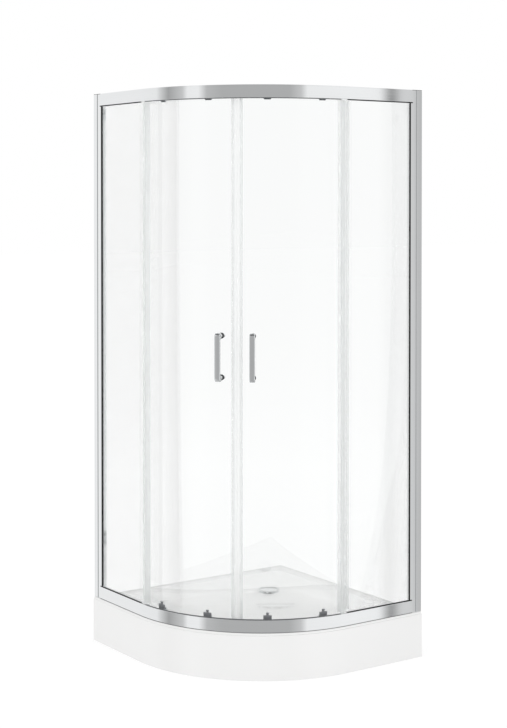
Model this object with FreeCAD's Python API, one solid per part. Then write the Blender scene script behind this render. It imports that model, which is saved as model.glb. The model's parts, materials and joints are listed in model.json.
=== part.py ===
"""Quadrant shower enclosure with a curved tray and two bent glass doors that roll on curved rails.

Units are millimetres, +Z is up and the floor is z = 0. The origin is under the middle of the square
that the tray fills. The two walls stand at x = +tray_side / 2 and y = +tray_side / 2, so the open,
rounded corner of the quadrant points to -X -Y.

Three ways of placing a size are used:
- s is the distance in from the outer face of the rails, square to it.
- w is the distance from the wall, along the rail, on the left side (the end at -X).
- theta is the angle along the curve, in degrees, from the end of the left straight.
Every left piece is drawn once, and its right twin is its mirror image in the plane x = y.
"""
import FreeCAD, Part
import math
import os

Vector = FreeCAD.Vector
UP = Vector(0, 0, 1)
ORIGIN = Vector(0, 0, 0)

# ---- Overall sizes ----
tray_side = 900.0
tray_radius = 550.0
tray_height = 170.0
enclosure_height = 1950.0
enclosure_inset = 5.0          # from the tray's edge in to the face of the rails

# ---- Tray ----
tray_corner_radius = 8.0
rim_thickness = 8.0
rim_width = 60.0
basin_wall = 5.0
basin_depth = 35.0             # at the drain
basin_edge_width = 92.0
basin_edge_steps = ((0, 0), (0.2, 0.4), (0.5, 0.68), (1, 1))   # shares of its width and depth
floor_fall = 12.0              # over the length of a side, towards the drain
basin_corner_radius = 45.0
drain_from_wall = 220.0
skirt_setback = 7.0
skirt_thickness = 4.0
skirt_height = 38.0
apron_thickness = 4.0
apron_gap = 0.4                # shadow line between the apron and the rim
apron_foot_width = 22.0
apron_foot_thickness = 3.0
apron_foot_fillet = 1.5
leg_from_edge = 110.0
leg_rod_radius = 6.0
leg_pad_radius = 21.0
leg_pad_height = 9.0
leg_pad_neck_radius = 9.6
leg_nut_width = 20.0
leg_nut_height = 8.0
leg_rod_in_socket = 12.0
socket_radius = 22.0
socket_length = 58.0           # down from the underside of the rim
socket_bore_gap = 0.15
socket_bore_over = 1.0          # the bore goes on past the end of the rod

# ---- Waste ----
drain_hole_radius = 30.0
waste_flange_radius = 42.0
waste_flange_thickness = 2.0
waste_flange_edge = 1.0
waste_tube_outer = 29.7
waste_tube_inner = 28.0
waste_tube_length = 16.0
waste_cover_radius = 43.0
waste_cover_thickness = 2.4
waste_cover_dome = 1.8
waste_cover_flat_radius = 26.0
waste_cover_edge = 1.0
waste_cover_lift = 7.0         # its legs hold it this far above the flange
waste_cover_leg_radius = 3.0
waste_cover_fin = 1.6
waste_fin_gap = 0.6
waste_fin_rise = 2.0           # from the tube's lower end up to the fins
waste_seal_thickness = 3.0
waste_cup_radius = 48.0
waste_cup_depth = 71.0
waste_wall = 3.0
waste_cup_edge = 8.0
outlet_radius = 20.0
outlet_wall = 2.5
outlet_rise = 28.0             # its axis, above the underside of the cup
outlet_end_from_wall = 10.0
outlet_collar_radius = 24.0    # where the drain pipe's socket comes to rest
outlet_spigot = 148.0          # from the collar to the end

# ---- Rails: one section, used upright at the bottom and upside down at the top ----
rail_height = 46.0
rail_floor = 2.0
rail_front = 1.8
rail_bead = 3.0                # the front wall's thickened upper edge, which grips the gasket
rail_bead_height = 3.0
rail_edge_radius = 1.2
rail_web = 1.4
rail_web_top = 43.0
track_under = 38.0             # the face that the bottom wheels press up against
track_thickness = 2.0
lip_drop = 3.0
lip_thickness = 1.2
gutter_lip = 1.4
gutter_height = 6.0
rail_end_from_wall = 43.0

# ---- Glass and its gaskets ----
glass_thickness = 5.0
gasket_outer = 2.0             # between the rail's bead and the fixed pane
gasket_inner = 2.0             # between the fixed pane and the web
gasket_bottom = 2.0
gasket_proud = 3.5             # what shows above the bottom rail
gasket_edge = 0.9
fixed_pane_seat = 12.0         # the pane's lower edge above the underside of the rail
setting_block_length = 30.0
setting_block_from_end = 70.0  # the outer one, from the rail's end
setting_block_from_curve = 37.0
pocket_cover_proud = 3.0
pocket_cover_depth = 14.0
pocket_cover_gap = 1.0          # to the panes' edges
pocket_cover_slope = 1.0
pane_overlap = 27.0            # how far the fixed pane's edge profile passes the start of the curve
edge_profile_skin = 1.4
edge_profile_grip = 15.0
edge_profile_leg = 15.5        # how far it reaches in, towards the door
edge_profile_leg_thickness = 2.0

# ---- Wall posts ----
wall_profile_depth = 31.5
wall_profile_skin = 1.5
wall_profile_reach = 25.0
slide_gap = 0.3
side_profile_skin = 1.4
side_profile_back = 8.0        # from the wall to its open back
side_channel_reach = 9.0       # of the glass channel, past the rail's end
side_channel_depth = 20.0
pane_in_channel = 2.0
post_gasket_proud = 5.0
post_gasket_lip = 1.0           # how far it covers the channel's edge
post_cap_thickness = 1.5
wall_hole_radius = 2.6
wall_hole_from_end = 105.0
wall_hole_count = 4
lock_screw_radius = 2.0
lock_screw_head = 3.8
lock_screw_head_height = 1.6
lock_screw_gap = 0.1
lock_screw_past = 3.0           # beyond the side profile's wall
lock_screw_from_end = 150.0
lock_screw_from_wall = 17.0

# ---- Doors ----
roller_play = 5.9              # room each side of a wheel in its channel
wheel_radius = 11.5
wheel_width = 4.0
wheel_crown = 0.5
wheel_gap = 0.15               # from the tread to the track
wheel_bore_gap = 0.06
wheel_side_gap = 0.1
wheel_recess_radius = 5.4
wheel_recess_depth = 1.6
axle_radius = 3.0
axle_head_radius = 4.9
axle_collar_radius = 4.5
carrier_clear = 6.1            # from the rail's lip to the carriers
carrier_thickness = 4.5
carrier_half_width = 15.0
carrier_corner = 3.0
glass_seat_gap = 0.2
door_edge_clear = 14.0         # from the door glass to the back of either rail
rear_roller_theta = 8.8
front_roller_theta = 32.5
meeting_gap = 0.6
meeting_profile_width = 20.3
meeting_profile_grip = 10.0
meeting_profile_skin = 1.5
meeting_nose = 1.2
rear_seal_edge = 30.0          # its back edge, this far before the start of the curve
rear_seal_back = 2.5
rear_seal_grip = 15.0
rear_seal_leg = 9.5
seal_rail_gap = 3.0
seal_slot_gap = 0.15
pole_dx = 148.0                # upright axis that the left door swings about, from the curve's
pole_dy = 43.0                 # centre: the door's two rollers stay in their channel about it
door_swing = 19.55

# ---- Roller hangers (top) and spring carriers (bottom) ----
hanger_back = 45.0             # lower end, from the back of the rail
hanger_front = 16.0
hanger_bolt = 39.5
hanger_bolt_radius = 3.0
carrier_foot = 6.0
blind_end = 1.0                # left in front of a hole that doesn't go through
hood_top = 54.5
hood_height = 7.5
hood_wall = 2.4
hood_corner = 2.2
hood_back_corner = 0.5
slot_half_width = 6.2
slot_foot = 8.0
slider_play = 0.25
slider_foot = 18.5
slider_corner = 1.0
slider_travel = 5.0
button_gap = 0.5               # left above the hood when the button is pressed
button_height = 4.0
button_half_width = 5.4
button_corner = 2.0
button_back_corner = 1.5
button_neck_step = 1.2
spring_radius = 1.9
spring_wall = 0.7
carrier_bolt_offset = 10.9
carrier_bolt_z = 32.0
carrier_bolt_radius = 2.5
bolt_hole_gap = 0.8
clamp_thickness = 3.5
clamp_half_width = 13.5
clamp_half_height = 11.0
clamp_corner = 4.0
clamp_glass_gap = 0.4
bolt_head_radius = 4.6
bolt_head_height = 2.6

# ---- Handles ----
handle_from_meeting = 58.0
handle_middle = 980.0          # above the underside of the bottom rail
handle_length = 175.0
handle_post_spacing = 150.0
handle_width = 20.0
handle_bar_thickness = 13.0
handle_stand_off = 52.0        # outer face of the bar, from the glass
handle_foot_height = 23.0
handle_foot_reach = 24.0
handle_bend_radius = 15.0
handle_inner_radius = 8.0
handle_edge_radius = 4.0
handle_tip_radius = 3.0
handle_post_radius = 8.0
handle_ring_radius = 11.0
handle_ring_thickness = 2.5
handle_ring_edge = 0.8
handle_screw_radius = 3.0
handle_screw_gap = 0.15
handle_screw_reach = 22.0
handle_screw_end = 1.0          # from the screw's tip to the end of its hole
handle_cap_radius = 10.0
handle_cap_height = 11.0
handle_cap_edge = 2.0

# ---- Rail ends and stops ----
bracket_length = 30.0
bracket_gap = 0.4
stop_length = 12.0
stop_wheel_gap = 0.8
channel_block_corner = 1.0

# ---- Drawing allowances ----
overlap = 1.0                  # how far fused shapes reach into each other
through = 5.0                  # how far a drill starts outside what it cuts

# ---- Places that follow from the sizes ----
quarter_turn = 90.0
meeting_theta = quarter_turn / 2
half = tray_side / 2
centre = Vector(tray_radius - half, tray_radius - half, 0)
straight = tray_side - tray_radius
rail_radius = tray_radius - enclosure_inset
rail_z = tray_height
top_z = rail_z + enclosure_height
floor_top = tray_height - basin_depth
socket_bottom = tray_height - rim_thickness - socket_length
leg_rod_top = socket_bottom + leg_rod_in_socket
waste_cup_top = floor_top - basin_wall - waste_seal_thickness
waste_cup_bottom = waste_cup_top - waste_cup_depth
outlet_axis_z = waste_cup_bottom + outlet_rise
wall_hole_spacing = (enclosure_height - 2 * wall_hole_from_end) / (wall_hole_count - 1)
lock_screw_heights = (lock_screw_from_end, enclosure_height / 2, enclosure_height - lock_screw_from_end)
drain = Vector(half - drain_from_wall, half - drain_from_wall, 0)

pane_s0 = rail_bead + gasket_outer
pane_s1 = pane_s0 + glass_thickness
web_s0 = pane_s1 + gasket_inner
web_s1 = web_s0 + rail_web
channel_s1 = web_s1 + wheel_width + 2 * roller_play
lip_s1 = channel_s1 + lip_thickness
carrier_s0 = lip_s1 + carrier_clear
carrier_s1 = carrier_s0 + carrier_thickness
door_s0 = carrier_s1 + glass_seat_gap
door_s1 = door_s0 + glass_thickness
rail_depth = door_s1 + gutter_lip + gutter_lip

door_outer = rail_radius - door_s0
door_inner = rail_radius - door_s1
wheel_track = rail_radius - (web_s1 + channel_s1) / 2
wheel_drop = track_under - wheel_gap - wheel_radius
carrier_in = rail_radius - carrier_s1
carrier_out = rail_radius - carrier_s0

bottom_wheel_z = rail_z + wheel_drop
top_wheel_z = top_z - wheel_drop
pane_w1 = straight + pane_overlap - edge_profile_leg_thickness
side_mouth = rail_end_from_wall + side_channel_reach
channel_floor = side_mouth - side_channel_depth
pane_w0 = channel_floor + pane_in_channel


# ---- Drawing helpers ----
def rounded_wire(corners, to_space):
    """Close a wire through corners (a, b, radius), with an arc wherever the radius isn't 0."""
    ends = []
    count = len(corners)
    for i in range(count):
        a, b, radius = corners[i]
        here = to_space(a, b)
        if radius == 0:
            ends.append((here, None, here))
            continue
        before = to_space(*corners[i - 1][:2]).sub(here).normalize()
        after = to_space(*corners[(i + 1) % count][:2]).sub(here).normalize()
        half_angle = before.getAngle(after) / 2
        setback = radius / math.tan(half_angle)
        bisector = before.add(after).normalize()
        middle = here.add(bisector.multiply(radius / math.sin(half_angle) - radius))
        ends.append((here.add(before.multiply(setback)), middle, here.add(after.multiply(setback))))
    edges = []
    for i in range(count):
        start, middle, end = ends[i]
        if middle is not None:
            edges.append(Part.Arc(start, middle, end).toShape())
        following = ends[(i + 1) % count][0]
        if end.distanceToPoint(following) > 1e-6:
            edges.append(Part.LineSegment(end, following).toShape())
    return Part.Wire(edges)


def sharp(points):
    """Give plain (a, b) points a corner radius of 0."""
    return [(a, b, 0) for a, b in points]


def plate(corners, z0, z1):
    """Extrude a rounded outline, drawn in plan, from z0 up to z1."""
    wire = rounded_wire(corners, lambda x, y: Vector(x, y, z0))
    return Part.Face(wire).extrude(UP * (z1 - z0))


def upright(points, z0, z1):
    """Extrude an outline of (s, w) points on the left side from z0 up to z1."""
    left = enclosure_inset - half
    return plate(sharp([(left + s, half - w) for s, w in points]), z0, z1)


def section_face(corners):
    """Face from (s, z) corners, standing across the start of the curve."""
    return Part.Face(rounded_wire(corners, lambda s, z: Vector(centre.x - rail_radius + s, centre.y, z)))


def straight_run(corners, w0, w1):
    """Extrude an (s, z) section along the left straight, from w0 to w1."""
    face = section_face(corners)
    face.translate(Vector(0, straight - w0, 0))
    return face.extrude(Vector(0, w0 - w1, 0))


def curved_run(corners, theta0, theta1):
    """Turn an (s, z) section about the curve's centre, from theta0 to theta1."""
    face = section_face(corners)
    face.rotate(centre, UP, theta0)
    return face.revolve(centre, UP, theta1 - theta0)


def ring_sector(r0, r1, theta0, theta1, z0, z1):
    """Part of an upright tube about the curve's centre."""
    s0 = rail_radius - r1
    s1 = rail_radius - r0
    return curved_run(sharp([(s0, z0), (s1, z0), (s1, z1), (s0, z1)]), theta0, theta1)


def arc_angle(length, radius=door_outer):
    """Angle that a length along the curve stands for, by default along the door glass."""
    return math.degrees(length / radius)


def placed(shape, theta):
    """Move a shape drawn with +X outward and +Y along the curve to its place at theta."""
    moved = shape.copy()
    moved.rotate(ORIGIN, UP, 180 + theta)
    moved.translate(centre)
    return moved


def block(x0, x1, y0, y1, z0, z1):
    """Box between two corners."""
    return Part.makeBox(x1 - x0, y1 - y0, z1 - z0, Vector(x0, y0, z0))


def rod(radius, x0, x1, y, z):
    """Cylinder along X."""
    return Part.makeCylinder(radius, x1 - x0, Vector(x0, y, z), Vector(1, 0, 0))


def post(radius, z0, z1, x, y):
    """Cylinder along Z."""
    return Part.makeCylinder(radius, z1 - z0, Vector(x, y, z0), UP)


def turned(points, x, y):
    """Revolve an outline of (radius, z) points about an upright axis."""
    wire = rounded_wire(sharp(points), lambda r, z: Vector(x + r, y, z))
    return Part.Face(wire).revolve(Vector(x, y, 0), UP, 360)


def turned_x(points, y, z):
    """Revolve an outline of (x, radius) points about an axis along X."""
    wire = rounded_wire(sharp(points), lambda x, r: Vector(x, y, z + r))
    return Part.Face(wire).revolve(Vector(0, y, z), Vector(1, 0, 0), 360)


def flipped(shape):
    """Upside-down copy, about the middle height of the enclosure."""
    return shape.mirror(Vector(0, 0, (rail_z + top_z) / 2), UP)


def twin(shape):
    """Right-hand copy of a left piece."""
    return shape.mirror(ORIGIN, Vector(1, -1, 0))


def one(shapes):
    """Fuse shapes into a single clean solid."""
    return shapes[0].fuse(shapes[1:]).removeSplitter()


def group(shapes):
    """Keep separate solids together in one node."""
    return Part.makeCompound(shapes)


# ---- Tray and waste ----
def tray_outline(offset, radius):
    """The quadrant, drawn in by an offset, with its three small corners rounded."""
    edge = half - offset
    return [(-edge, edge, radius), (-edge, -edge, tray_radius - offset), (edge, -edge, radius),
            (edge, edge, radius)]


def soft_edge(grow):
    """Points (s, z) down the basin's soft edge, from the rim to the level of the drain."""
    start = rim_width - enclosure_inset - grow
    return [(start + inward * basin_edge_width, tray_height - down * basin_depth - (grow if down else 0))
            for inward, down in basin_edge_steps]


def basin(grow):
    """Soft-edged hollow of the tray, made larger all round by the wall's thickness."""
    edge = soft_edge(grow)
    low = floor_top - grow
    inner = sharp(edge + [(rail_radius, low), (rail_radius, tray_height)])
    left = straight_run(inner, 0, straight)
    back = block(centre.x, half, centre.y, half, low, tray_height)
    hollow = one([left, curved_run(inner, 0, quarter_turn), twin(left), back])
    wall_side = straight_run(sharp(edge + [(tray_side, low), (tray_side, tray_height)]), 0, tray_side)
    wall_side = wall_side.mirror(ORIGIN, Vector(1, 0, 0))
    outline = plate(tray_outline(rim_width - grow, basin_corner_radius + grow), low, tray_height)
    hollow = hollow.common(wall_side).common(twin(wall_side)).common(outline)
    fall = turned([(waste_flange_radius, low), (tray_side, low + floor_fall), (tray_side, low)],
                  drain.x, drain.y)
    return hollow.cut(fall)


def tray_shell():
    """Acrylic shell: flat rim, soft-edged basin that falls to the drain, and a set-back skirt."""
    rim = plate(tray_outline(0, tray_corner_radius), tray_height - rim_thickness, tray_height)
    skirt_low = tray_height - skirt_height
    skirt = plate(tray_outline(skirt_setback, tray_corner_radius), skirt_low, tray_height - rim_thickness)
    inside = skirt_setback + skirt_thickness
    skirt = skirt.cut(plate(tray_outline(inside, tray_corner_radius), skirt_low, tray_height))
    solid = one([rim, skirt, basin(basin_wall)])
    solid = solid.cut(basin(0))
    return solid.cut(post(drain_hole_radius, 0, tray_height, drain.x, drain.y)).removeSplitter()


def tray_apron():
    """Curved front panel under the rim, with a foot flange turned in along the floor."""
    top = tray_height - rim_thickness - apron_gap
    foot = apron_foot_thickness
    panel = [(0, 0, 0), (apron_foot_width, 0, 0), (apron_foot_width, foot, 0),
             (apron_thickness, foot, apron_foot_fillet), (apron_thickness, top, 0), (0, top, 0)]
    corners = [(s - enclosure_inset, z, r) for s, z, r in panel]
    left = straight_run(corners, 0, straight)
    return one([left, curved_run(corners, 0, quarter_turn), twin(left)])


def leg_places():
    """Three legs near the corners, one under the middle of the curve and one under the floor."""
    near = half - leg_from_edge
    curve = centre.x - (tray_radius - leg_from_edge) / math.sqrt(2)
    return ((-near, near), (near, near), (near, -near), (curve, curve), (0.0, 0.0))


def leg_sockets():
    """Bosses bonded under the tray, bored for the legs' rods."""
    bowl = basin(basin_wall)
    sockets = []
    for x, y in leg_places():
        body = post(socket_radius, socket_bottom, tray_height - rim_thickness, x, y)
        bore = post(leg_rod_radius + socket_bore_gap, socket_bottom, leg_rod_top + socket_bore_over, x, y)
        sockets.append(body.cut(bowl).cut(bore))
    return group(sockets)


def tray_legs():
    """Threaded rods with a pad at the floor and a lock nut under the socket."""
    legs = []
    for x, y in leg_places():
        pad = turned([(0, 0), (leg_pad_radius, 0), (leg_pad_radius, leg_pad_height / 2),
                      (leg_pad_neck_radius, leg_pad_height), (0, leg_pad_height)], x, y)
        stem = post(leg_rod_radius, leg_pad_height, leg_rod_top, x, y)
        corner = leg_nut_width / math.sqrt(3)
        ring = [(x + corner * math.cos(math.radians(60 * k)), y + corner * math.sin(math.radians(60 * k)))
                for k in range(6)]
        nut = plate(sharp(ring), socket_bottom - leg_nut_height, socket_bottom)
        legs.append(one([pad, stem, nut]))
    return group(legs)


def waste_flange():
    """Chrome ring on the tray's floor, with the tube that screws into the waste body."""
    top = floor_top + waste_flange_thickness
    low = floor_top - waste_tube_length
    edge = waste_flange_edge
    return turned([(waste_tube_inner, low), (waste_tube_outer, low), (waste_tube_outer, floor_top),
                   (waste_flange_radius, floor_top), (waste_flange_radius, top - edge),
                   (waste_flange_radius - edge, top), (waste_tube_inner, top)], drain.x, drain.y)


def waste_cover():
    """Domed disc on four short legs, with two crossed fins that centre it in the tube."""
    seat = floor_top + waste_flange_thickness
    under = seat + waste_cover_lift
    rim = under + waste_cover_thickness
    crown = rim + waste_cover_dome
    edge = waste_cover_edge
    disc = turned([(0, under), (waste_cover_radius - edge, under), (waste_cover_radius, under + edge),
                   (waste_cover_radius, rim), (waste_cover_flat_radius, crown), (0, crown)], drain.x, drain.y)
    at = (waste_tube_outer + waste_flange_radius) / 2
    turns = [math.radians(45 + 90 * k) for k in range(4)]
    legs = [post(waste_cover_leg_radius, seat, under + overlap, drain.x + at * math.cos(turn),
                 drain.y + at * math.sin(turn)) for turn in turns]
    reach = waste_tube_inner - waste_fin_gap
    thin = waste_cover_fin / 2
    low = floor_top - waste_tube_length + waste_fin_rise
    fins = [block(drain.x - reach, drain.x + reach, drain.y - thin, drain.y + thin, low, under + overlap),
            block(drain.x - thin, drain.x + thin, drain.y - reach, drain.y + reach, low, under + overlap)]
    return one([disc] + legs + fins)


def waste_seal():
    """Rubber ring between the tray and the waste body."""
    top = floor_top - basin_wall
    return turned([(drain_hole_radius, waste_cup_top), (waste_flange_radius, waste_cup_top),
                   (waste_flange_radius, top), (drain_hole_radius, top)], drain.x, drain.y)


def waste_body():
    """Cup under the drain with a level outlet pipe towards the wall, and a collar on the pipe."""
    shoulder = waste_cup_top - 2 * waste_wall
    edge = waste_cup_edge
    cup = turned([(0, waste_cup_bottom), (waste_cup_radius - edge, waste_cup_bottom),
                  (waste_cup_radius, waste_cup_bottom + edge), (waste_cup_radius, waste_cup_top),
                  (0, waste_cup_top)], drain.x, drain.y)
    end = half - outlet_end_from_wall
    pipe = rod(outlet_radius, drain.x, end, drain.y, outlet_axis_z)
    collar = rod(outlet_collar_radius, drain.x, end - outlet_spigot, drain.y, outlet_axis_z)
    low = waste_cup_bottom + waste_wall
    inner = waste_cup_radius - waste_wall
    inside = turned([(0, low), (inner - edge, low), (inner, low + edge), (inner, shoulder), (0, shoulder)],
                    drain.x, drain.y)
    bore = rod(outlet_radius - outlet_wall, drain.x, end, drain.y, outlet_axis_z)
    mouth = post(drain_hole_radius, shoulder, waste_cup_top, drain.x, drain.y)
    return one([cup, pipe, collar]).cut(one([inside, bore, mouth]))


# ---- Rails ----
def rail_section(z):
    """Rail outline: glass pocket in front, wheel channel with a lip behind, gutter at the back."""
    track_top = z + track_under + track_thickness
    gutter_s0 = rail_depth - gutter_lip
    bead_z = z + rail_height - rail_bead_height
    bead_step = rail_bead - rail_front
    return [
        (0, z, rail_edge_radius),
        (rail_depth, z, 0),
        (rail_depth, z + gutter_height, 0),
        (gutter_s0, z + gutter_height, 0),
        (gutter_s0, z + rail_floor, 0),
        (web_s1, z + rail_floor, 0),
        (web_s1, z + track_under, 0),
        (channel_s1, z + track_under, 0),
        (channel_s1, z + track_under - lip_drop, 0),
        (lip_s1, z + track_under - lip_drop, 0),
        (lip_s1, track_top, 0),
        (web_s1, track_top, 0),
        (web_s1, z + rail_web_top, 0),
        (web_s0, z + rail_web_top, 0),
        (web_s0, z + rail_floor, 0),
        (rail_front, z + rail_floor, 0),
        (rail_front, bead_z - bead_step, 0),
        (rail_bead, bead_z, 0),
        (rail_bead, z + rail_height, 0),
        (0, z + rail_height, rail_edge_radius),
    ]


def bottom_rail():
    """One bent profile: straight, quarter circle, straight."""
    left = straight_run(rail_section(rail_z), rail_end_from_wall, straight)
    return one([left, curved_run(rail_section(rail_z), 0, quarter_turn), twin(left)])


def pane_gasket():
    """U-shaped strip round the lower edge of the left pane, standing proud of the rail."""
    low = rail_z + fixed_pane_seat - gasket_bottom
    seat = rail_z + fixed_pane_seat
    proud = rail_z + rail_height + gasket_proud
    inner = rail_z + rail_web_top
    points = [(rail_bead, low), (web_s0, low), (web_s0, inner), (pane_s1, inner), (pane_s1, seat),
              (pane_s0, seat), (pane_s0, proud), (rail_bead + gasket_edge, proud),
              (rail_bead, proud - gasket_edge)]
    return straight_run(sharp(points), rail_end_from_wall, straight)


def pocket_cover():
    """Strip that closes the empty pocket along the curve, between the two panes."""
    start = arc_angle(pane_overlap + pocket_cover_gap, rail_radius)
    low = rail_z + rail_height - pocket_cover_depth
    inner = rail_z + rail_web_top
    proud = rail_z + rail_height + pocket_cover_proud
    points = [(rail_bead, low), (web_s0, low), (web_s0, inner), (pane_s0, inner + pocket_cover_slope),
              (pane_s0, proud), (rail_bead + gasket_edge, proud), (rail_bead, proud - gasket_edge)]
    return curved_run(sharp(points), start, quarter_turn - start)


def setting_blocks():
    """Rubber blocks that carry the panes' weight on the rail's floor."""
    blocks = []
    z0 = rail_z + rail_floor
    z1 = rail_z + fixed_pane_seat - gasket_bottom
    for w0 in (rail_end_from_wall + setting_block_from_end, straight - setting_block_from_curve):
        corners = sharp([(rail_bead, z0), (web_s0, z0), (web_s0, z1), (rail_bead, z1)])
        left = straight_run(corners, w0, w0 + setting_block_length)
        blocks += [left, twin(left)]
    return group(blocks)


def channel_block(w0, w1):
    """Piece that fills the bottom rail's wheel channel on the left, from w0 to w1."""
    s0 = web_s1 + bracket_gap / 2
    s1 = channel_s1 - bracket_gap / 2
    z0 = rail_z + rail_floor
    z1 = rail_z + track_under
    radius = channel_block_corner
    return straight_run([(s0, z0, radius), (s1, z0, radius), (s1, z1, radius), (s0, z1, radius)], w0, w1)


def door_turned(point, angle):
    """Where a plan point of the left door lies after the door has turned by an angle."""
    pole = Vector(centre.x + pole_dx, centre.y + pole_dy, 0)
    arm = point.sub(pole)
    turn = math.radians(angle)
    return Vector(pole.x + arm.x * math.cos(turn) - arm.y * math.sin(turn),
                  pole.y + arm.x * math.sin(turn) + arm.y * math.cos(turn), 0)


def door_stops():
    """Rubber blocks in all four channel ends, where the rear wheels of an open door come to rest."""
    angle = math.radians(180 + rear_roller_theta)
    wheel = centre.add(Vector(math.cos(angle), math.sin(angle), 0).multiply(wheel_track))
    rest = door_turned(wheel, -door_swing)
    w1 = half - rest.y - wheel_radius - stop_wheel_gap
    low = channel_block(w1 - stop_length, w1)
    return group([low, twin(low), flipped(low), twin(flipped(low))])


def rail_brackets():
    """End blocks that join the rails to the side profiles."""
    low = channel_block(rail_end_from_wall, rail_end_from_wall + bracket_length)
    return group([low, twin(low), flipped(low), twin(flipped(low))])


# ---- Wall posts and fixed panes ----
def wall_profile():
    """U-shaped profile screwed to the wall."""
    skin = wall_profile_skin
    deep = wall_profile_depth
    reach = wall_profile_reach
    outline = [(0, 0), (deep, 0), (deep, reach), (deep - skin, reach), (deep - skin, skin), (skin, skin),
               (skin, reach), (0, reach)]
    solid = upright(outline, rail_z, top_z - post_cap_thickness)
    x = enclosure_inset - half + deep / 2
    for k in range(wall_hole_count):
        z = rail_z + wall_hole_from_end + k * wall_hole_spacing
        at = Vector(x, half - skin, z)
        solid = solid.cut(Part.makeCylinder(wall_hole_radius, skin, at, Vector(0, 1, 0)))
    for z in lock_screw_heights:
        at = Vector(enclosure_inset - half + deep - skin, half - lock_screw_from_wall, rail_z + z)
        solid = solid.cut(Part.makeCylinder(lock_screw_radius, skin, at, Vector(1, 0, 0)))
    return solid


def side_profile():
    """Profile that slides in the wall profile: a box with the glass channel at its front."""
    skin = side_profile_skin
    front = wall_profile_skin + slide_gap
    rear = wall_profile_depth - wall_profile_skin - slide_gap
    end = rail_end_from_wall
    outline = [(front, side_profile_back), (front, side_mouth), (front + skin, side_mouth),
               (front + skin, channel_floor), (web_s0, channel_floor), (web_s0, side_mouth),
               (web_s0 + skin, side_mouth), (web_s0 + skin, end), (rear, end), (rear, side_profile_back),
               (rear - skin, side_profile_back), (rear - skin, end - skin), (web_s0 + skin, end - skin),
               (web_s0 + skin, channel_floor - skin), (front + skin, channel_floor - skin),
               (front + skin, side_profile_back)]
    solid = upright(outline, rail_z, top_z - post_cap_thickness)
    notch_top = rail_z + rail_height + gasket_proud
    notch = upright([(0, end), (rear, end), (rear, side_mouth), (0, side_mouth)], rail_z, notch_top)
    solid = solid.cut(notch).cut(flipped(notch))
    for z in lock_screw_heights:
        at = Vector(enclosure_inset - half + rear - skin, half - lock_screw_from_wall, rail_z + z)
        solid = solid.cut(Part.makeCylinder(lock_screw_radius, skin, at, Vector(1, 0, 0)))
    return solid


def lock_screws():
    """Screws through the inner flange of each wall profile into the side profile."""
    screws = []
    for z in lock_screw_heights:
        y = half - lock_screw_from_wall
        face = enclosure_inset - half + wall_profile_depth
        low = face - wall_profile_skin - slide_gap - side_profile_skin - lock_screw_past
        shank = rod(lock_screw_radius - lock_screw_gap, low, face, y, rail_z + z)
        head = rod(lock_screw_head, face, face + lock_screw_head_height, y, rail_z + z)
        screw = one([shank, head])
        screws += [screw, twin(screw)]
    return group(screws)


def profile_caps():
    """Flat caps that close the tops of both posts."""
    outline = [(0, 0), (wall_profile_depth, 0), (wall_profile_depth, rail_end_from_wall),
               (0, rail_end_from_wall)]
    left = upright(outline, top_z - post_cap_thickness, top_z)
    return group([left, twin(left)])


def fixed_pane():
    """Flat pane from the side profile's channel to a little past the start of the curve."""
    outline = [(pane_s0, pane_w0), (pane_s1, pane_w0), (pane_s1, pane_w1), (pane_s0, pane_w1)]
    return upright(outline, rail_z + fixed_pane_seat, top_z - fixed_pane_seat)


def post_gasket():
    """Black U-shaped gasket round the pane's edge in the side profile's channel."""
    face = wall_profile_skin + slide_gap + side_profile_skin
    lip = face - post_gasket_lip
    proud = side_mouth + post_gasket_proud
    outline = [(face, channel_floor), (web_s0, channel_floor), (web_s0, side_mouth), (pane_s1, side_mouth),
               (pane_s1, pane_w0), (pane_s0, pane_w0), (pane_s0, proud), (lip, proud), (lip, side_mouth),
               (face, side_mouth)]
    gap = rail_height + gasket_proud
    return upright(outline, rail_z + gap, top_z - gap)


def edge_profile():
    """Clear L-shaped profile on the pane's free edge; its leg reaches in towards the door."""
    skin = edge_profile_skin
    end = straight + pane_overlap
    tip = pane_s1 + skin + edge_profile_leg
    grip = end - edge_profile_grip
    outline = [(pane_s0 - skin, grip), (pane_s0, grip), (pane_s0, pane_w1), (pane_s1, pane_w1),
               (pane_s1, grip), (pane_s1 + skin, grip), (pane_s1 + skin, pane_w1), (tip, pane_w1),
               (tip, end), (pane_s0 - skin, end)]
    gap = rail_height + gasket_proud
    return upright(outline, rail_z + gap, top_z - gap)


# ---- Doors (drawn on the left) ----
door_z0 = rail_z + door_edge_clear
door_z1 = top_z - door_edge_clear
glass_theta0 = -arc_angle(rear_seal_edge - rear_seal_back)
glass_theta1 = meeting_theta - arc_angle(meeting_gap / 2 + meeting_profile_width - meeting_profile_grip)
handle_theta = meeting_theta - arc_angle(handle_from_meeting)
handle_z = rail_z + handle_middle
hanger_bolt_z = top_z - hanger_bolt


def handle_posts():
    """Heights of the two handle posts."""
    return (handle_z - handle_post_spacing / 2, handle_z + handle_post_spacing / 2)


def door_glass():
    """Bent pane, drilled for its rollers and its handle."""
    glass = ring_sector(door_inner, door_outer, glass_theta0, glass_theta1, door_z0, door_z1)
    x0 = door_inner - through
    x1 = door_outer + through
    holes = []
    for theta in (rear_roller_theta, front_roller_theta):
        holes.append(placed(rod(hanger_bolt_radius + bolt_hole_gap, x0, x1, 0, hanger_bolt_z), theta))
        for y in (-carrier_bolt_offset, carrier_bolt_offset):
            hole = rod(carrier_bolt_radius + bolt_hole_gap, x0, x1, y, rail_z + carrier_bolt_z)
            holes.append(placed(hole, theta))
    for z in handle_posts():
        holes.append(placed(rod(handle_screw_radius + bolt_hole_gap, x0, x1, 0, z), handle_theta))
    return glass.cut(holes)


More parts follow.
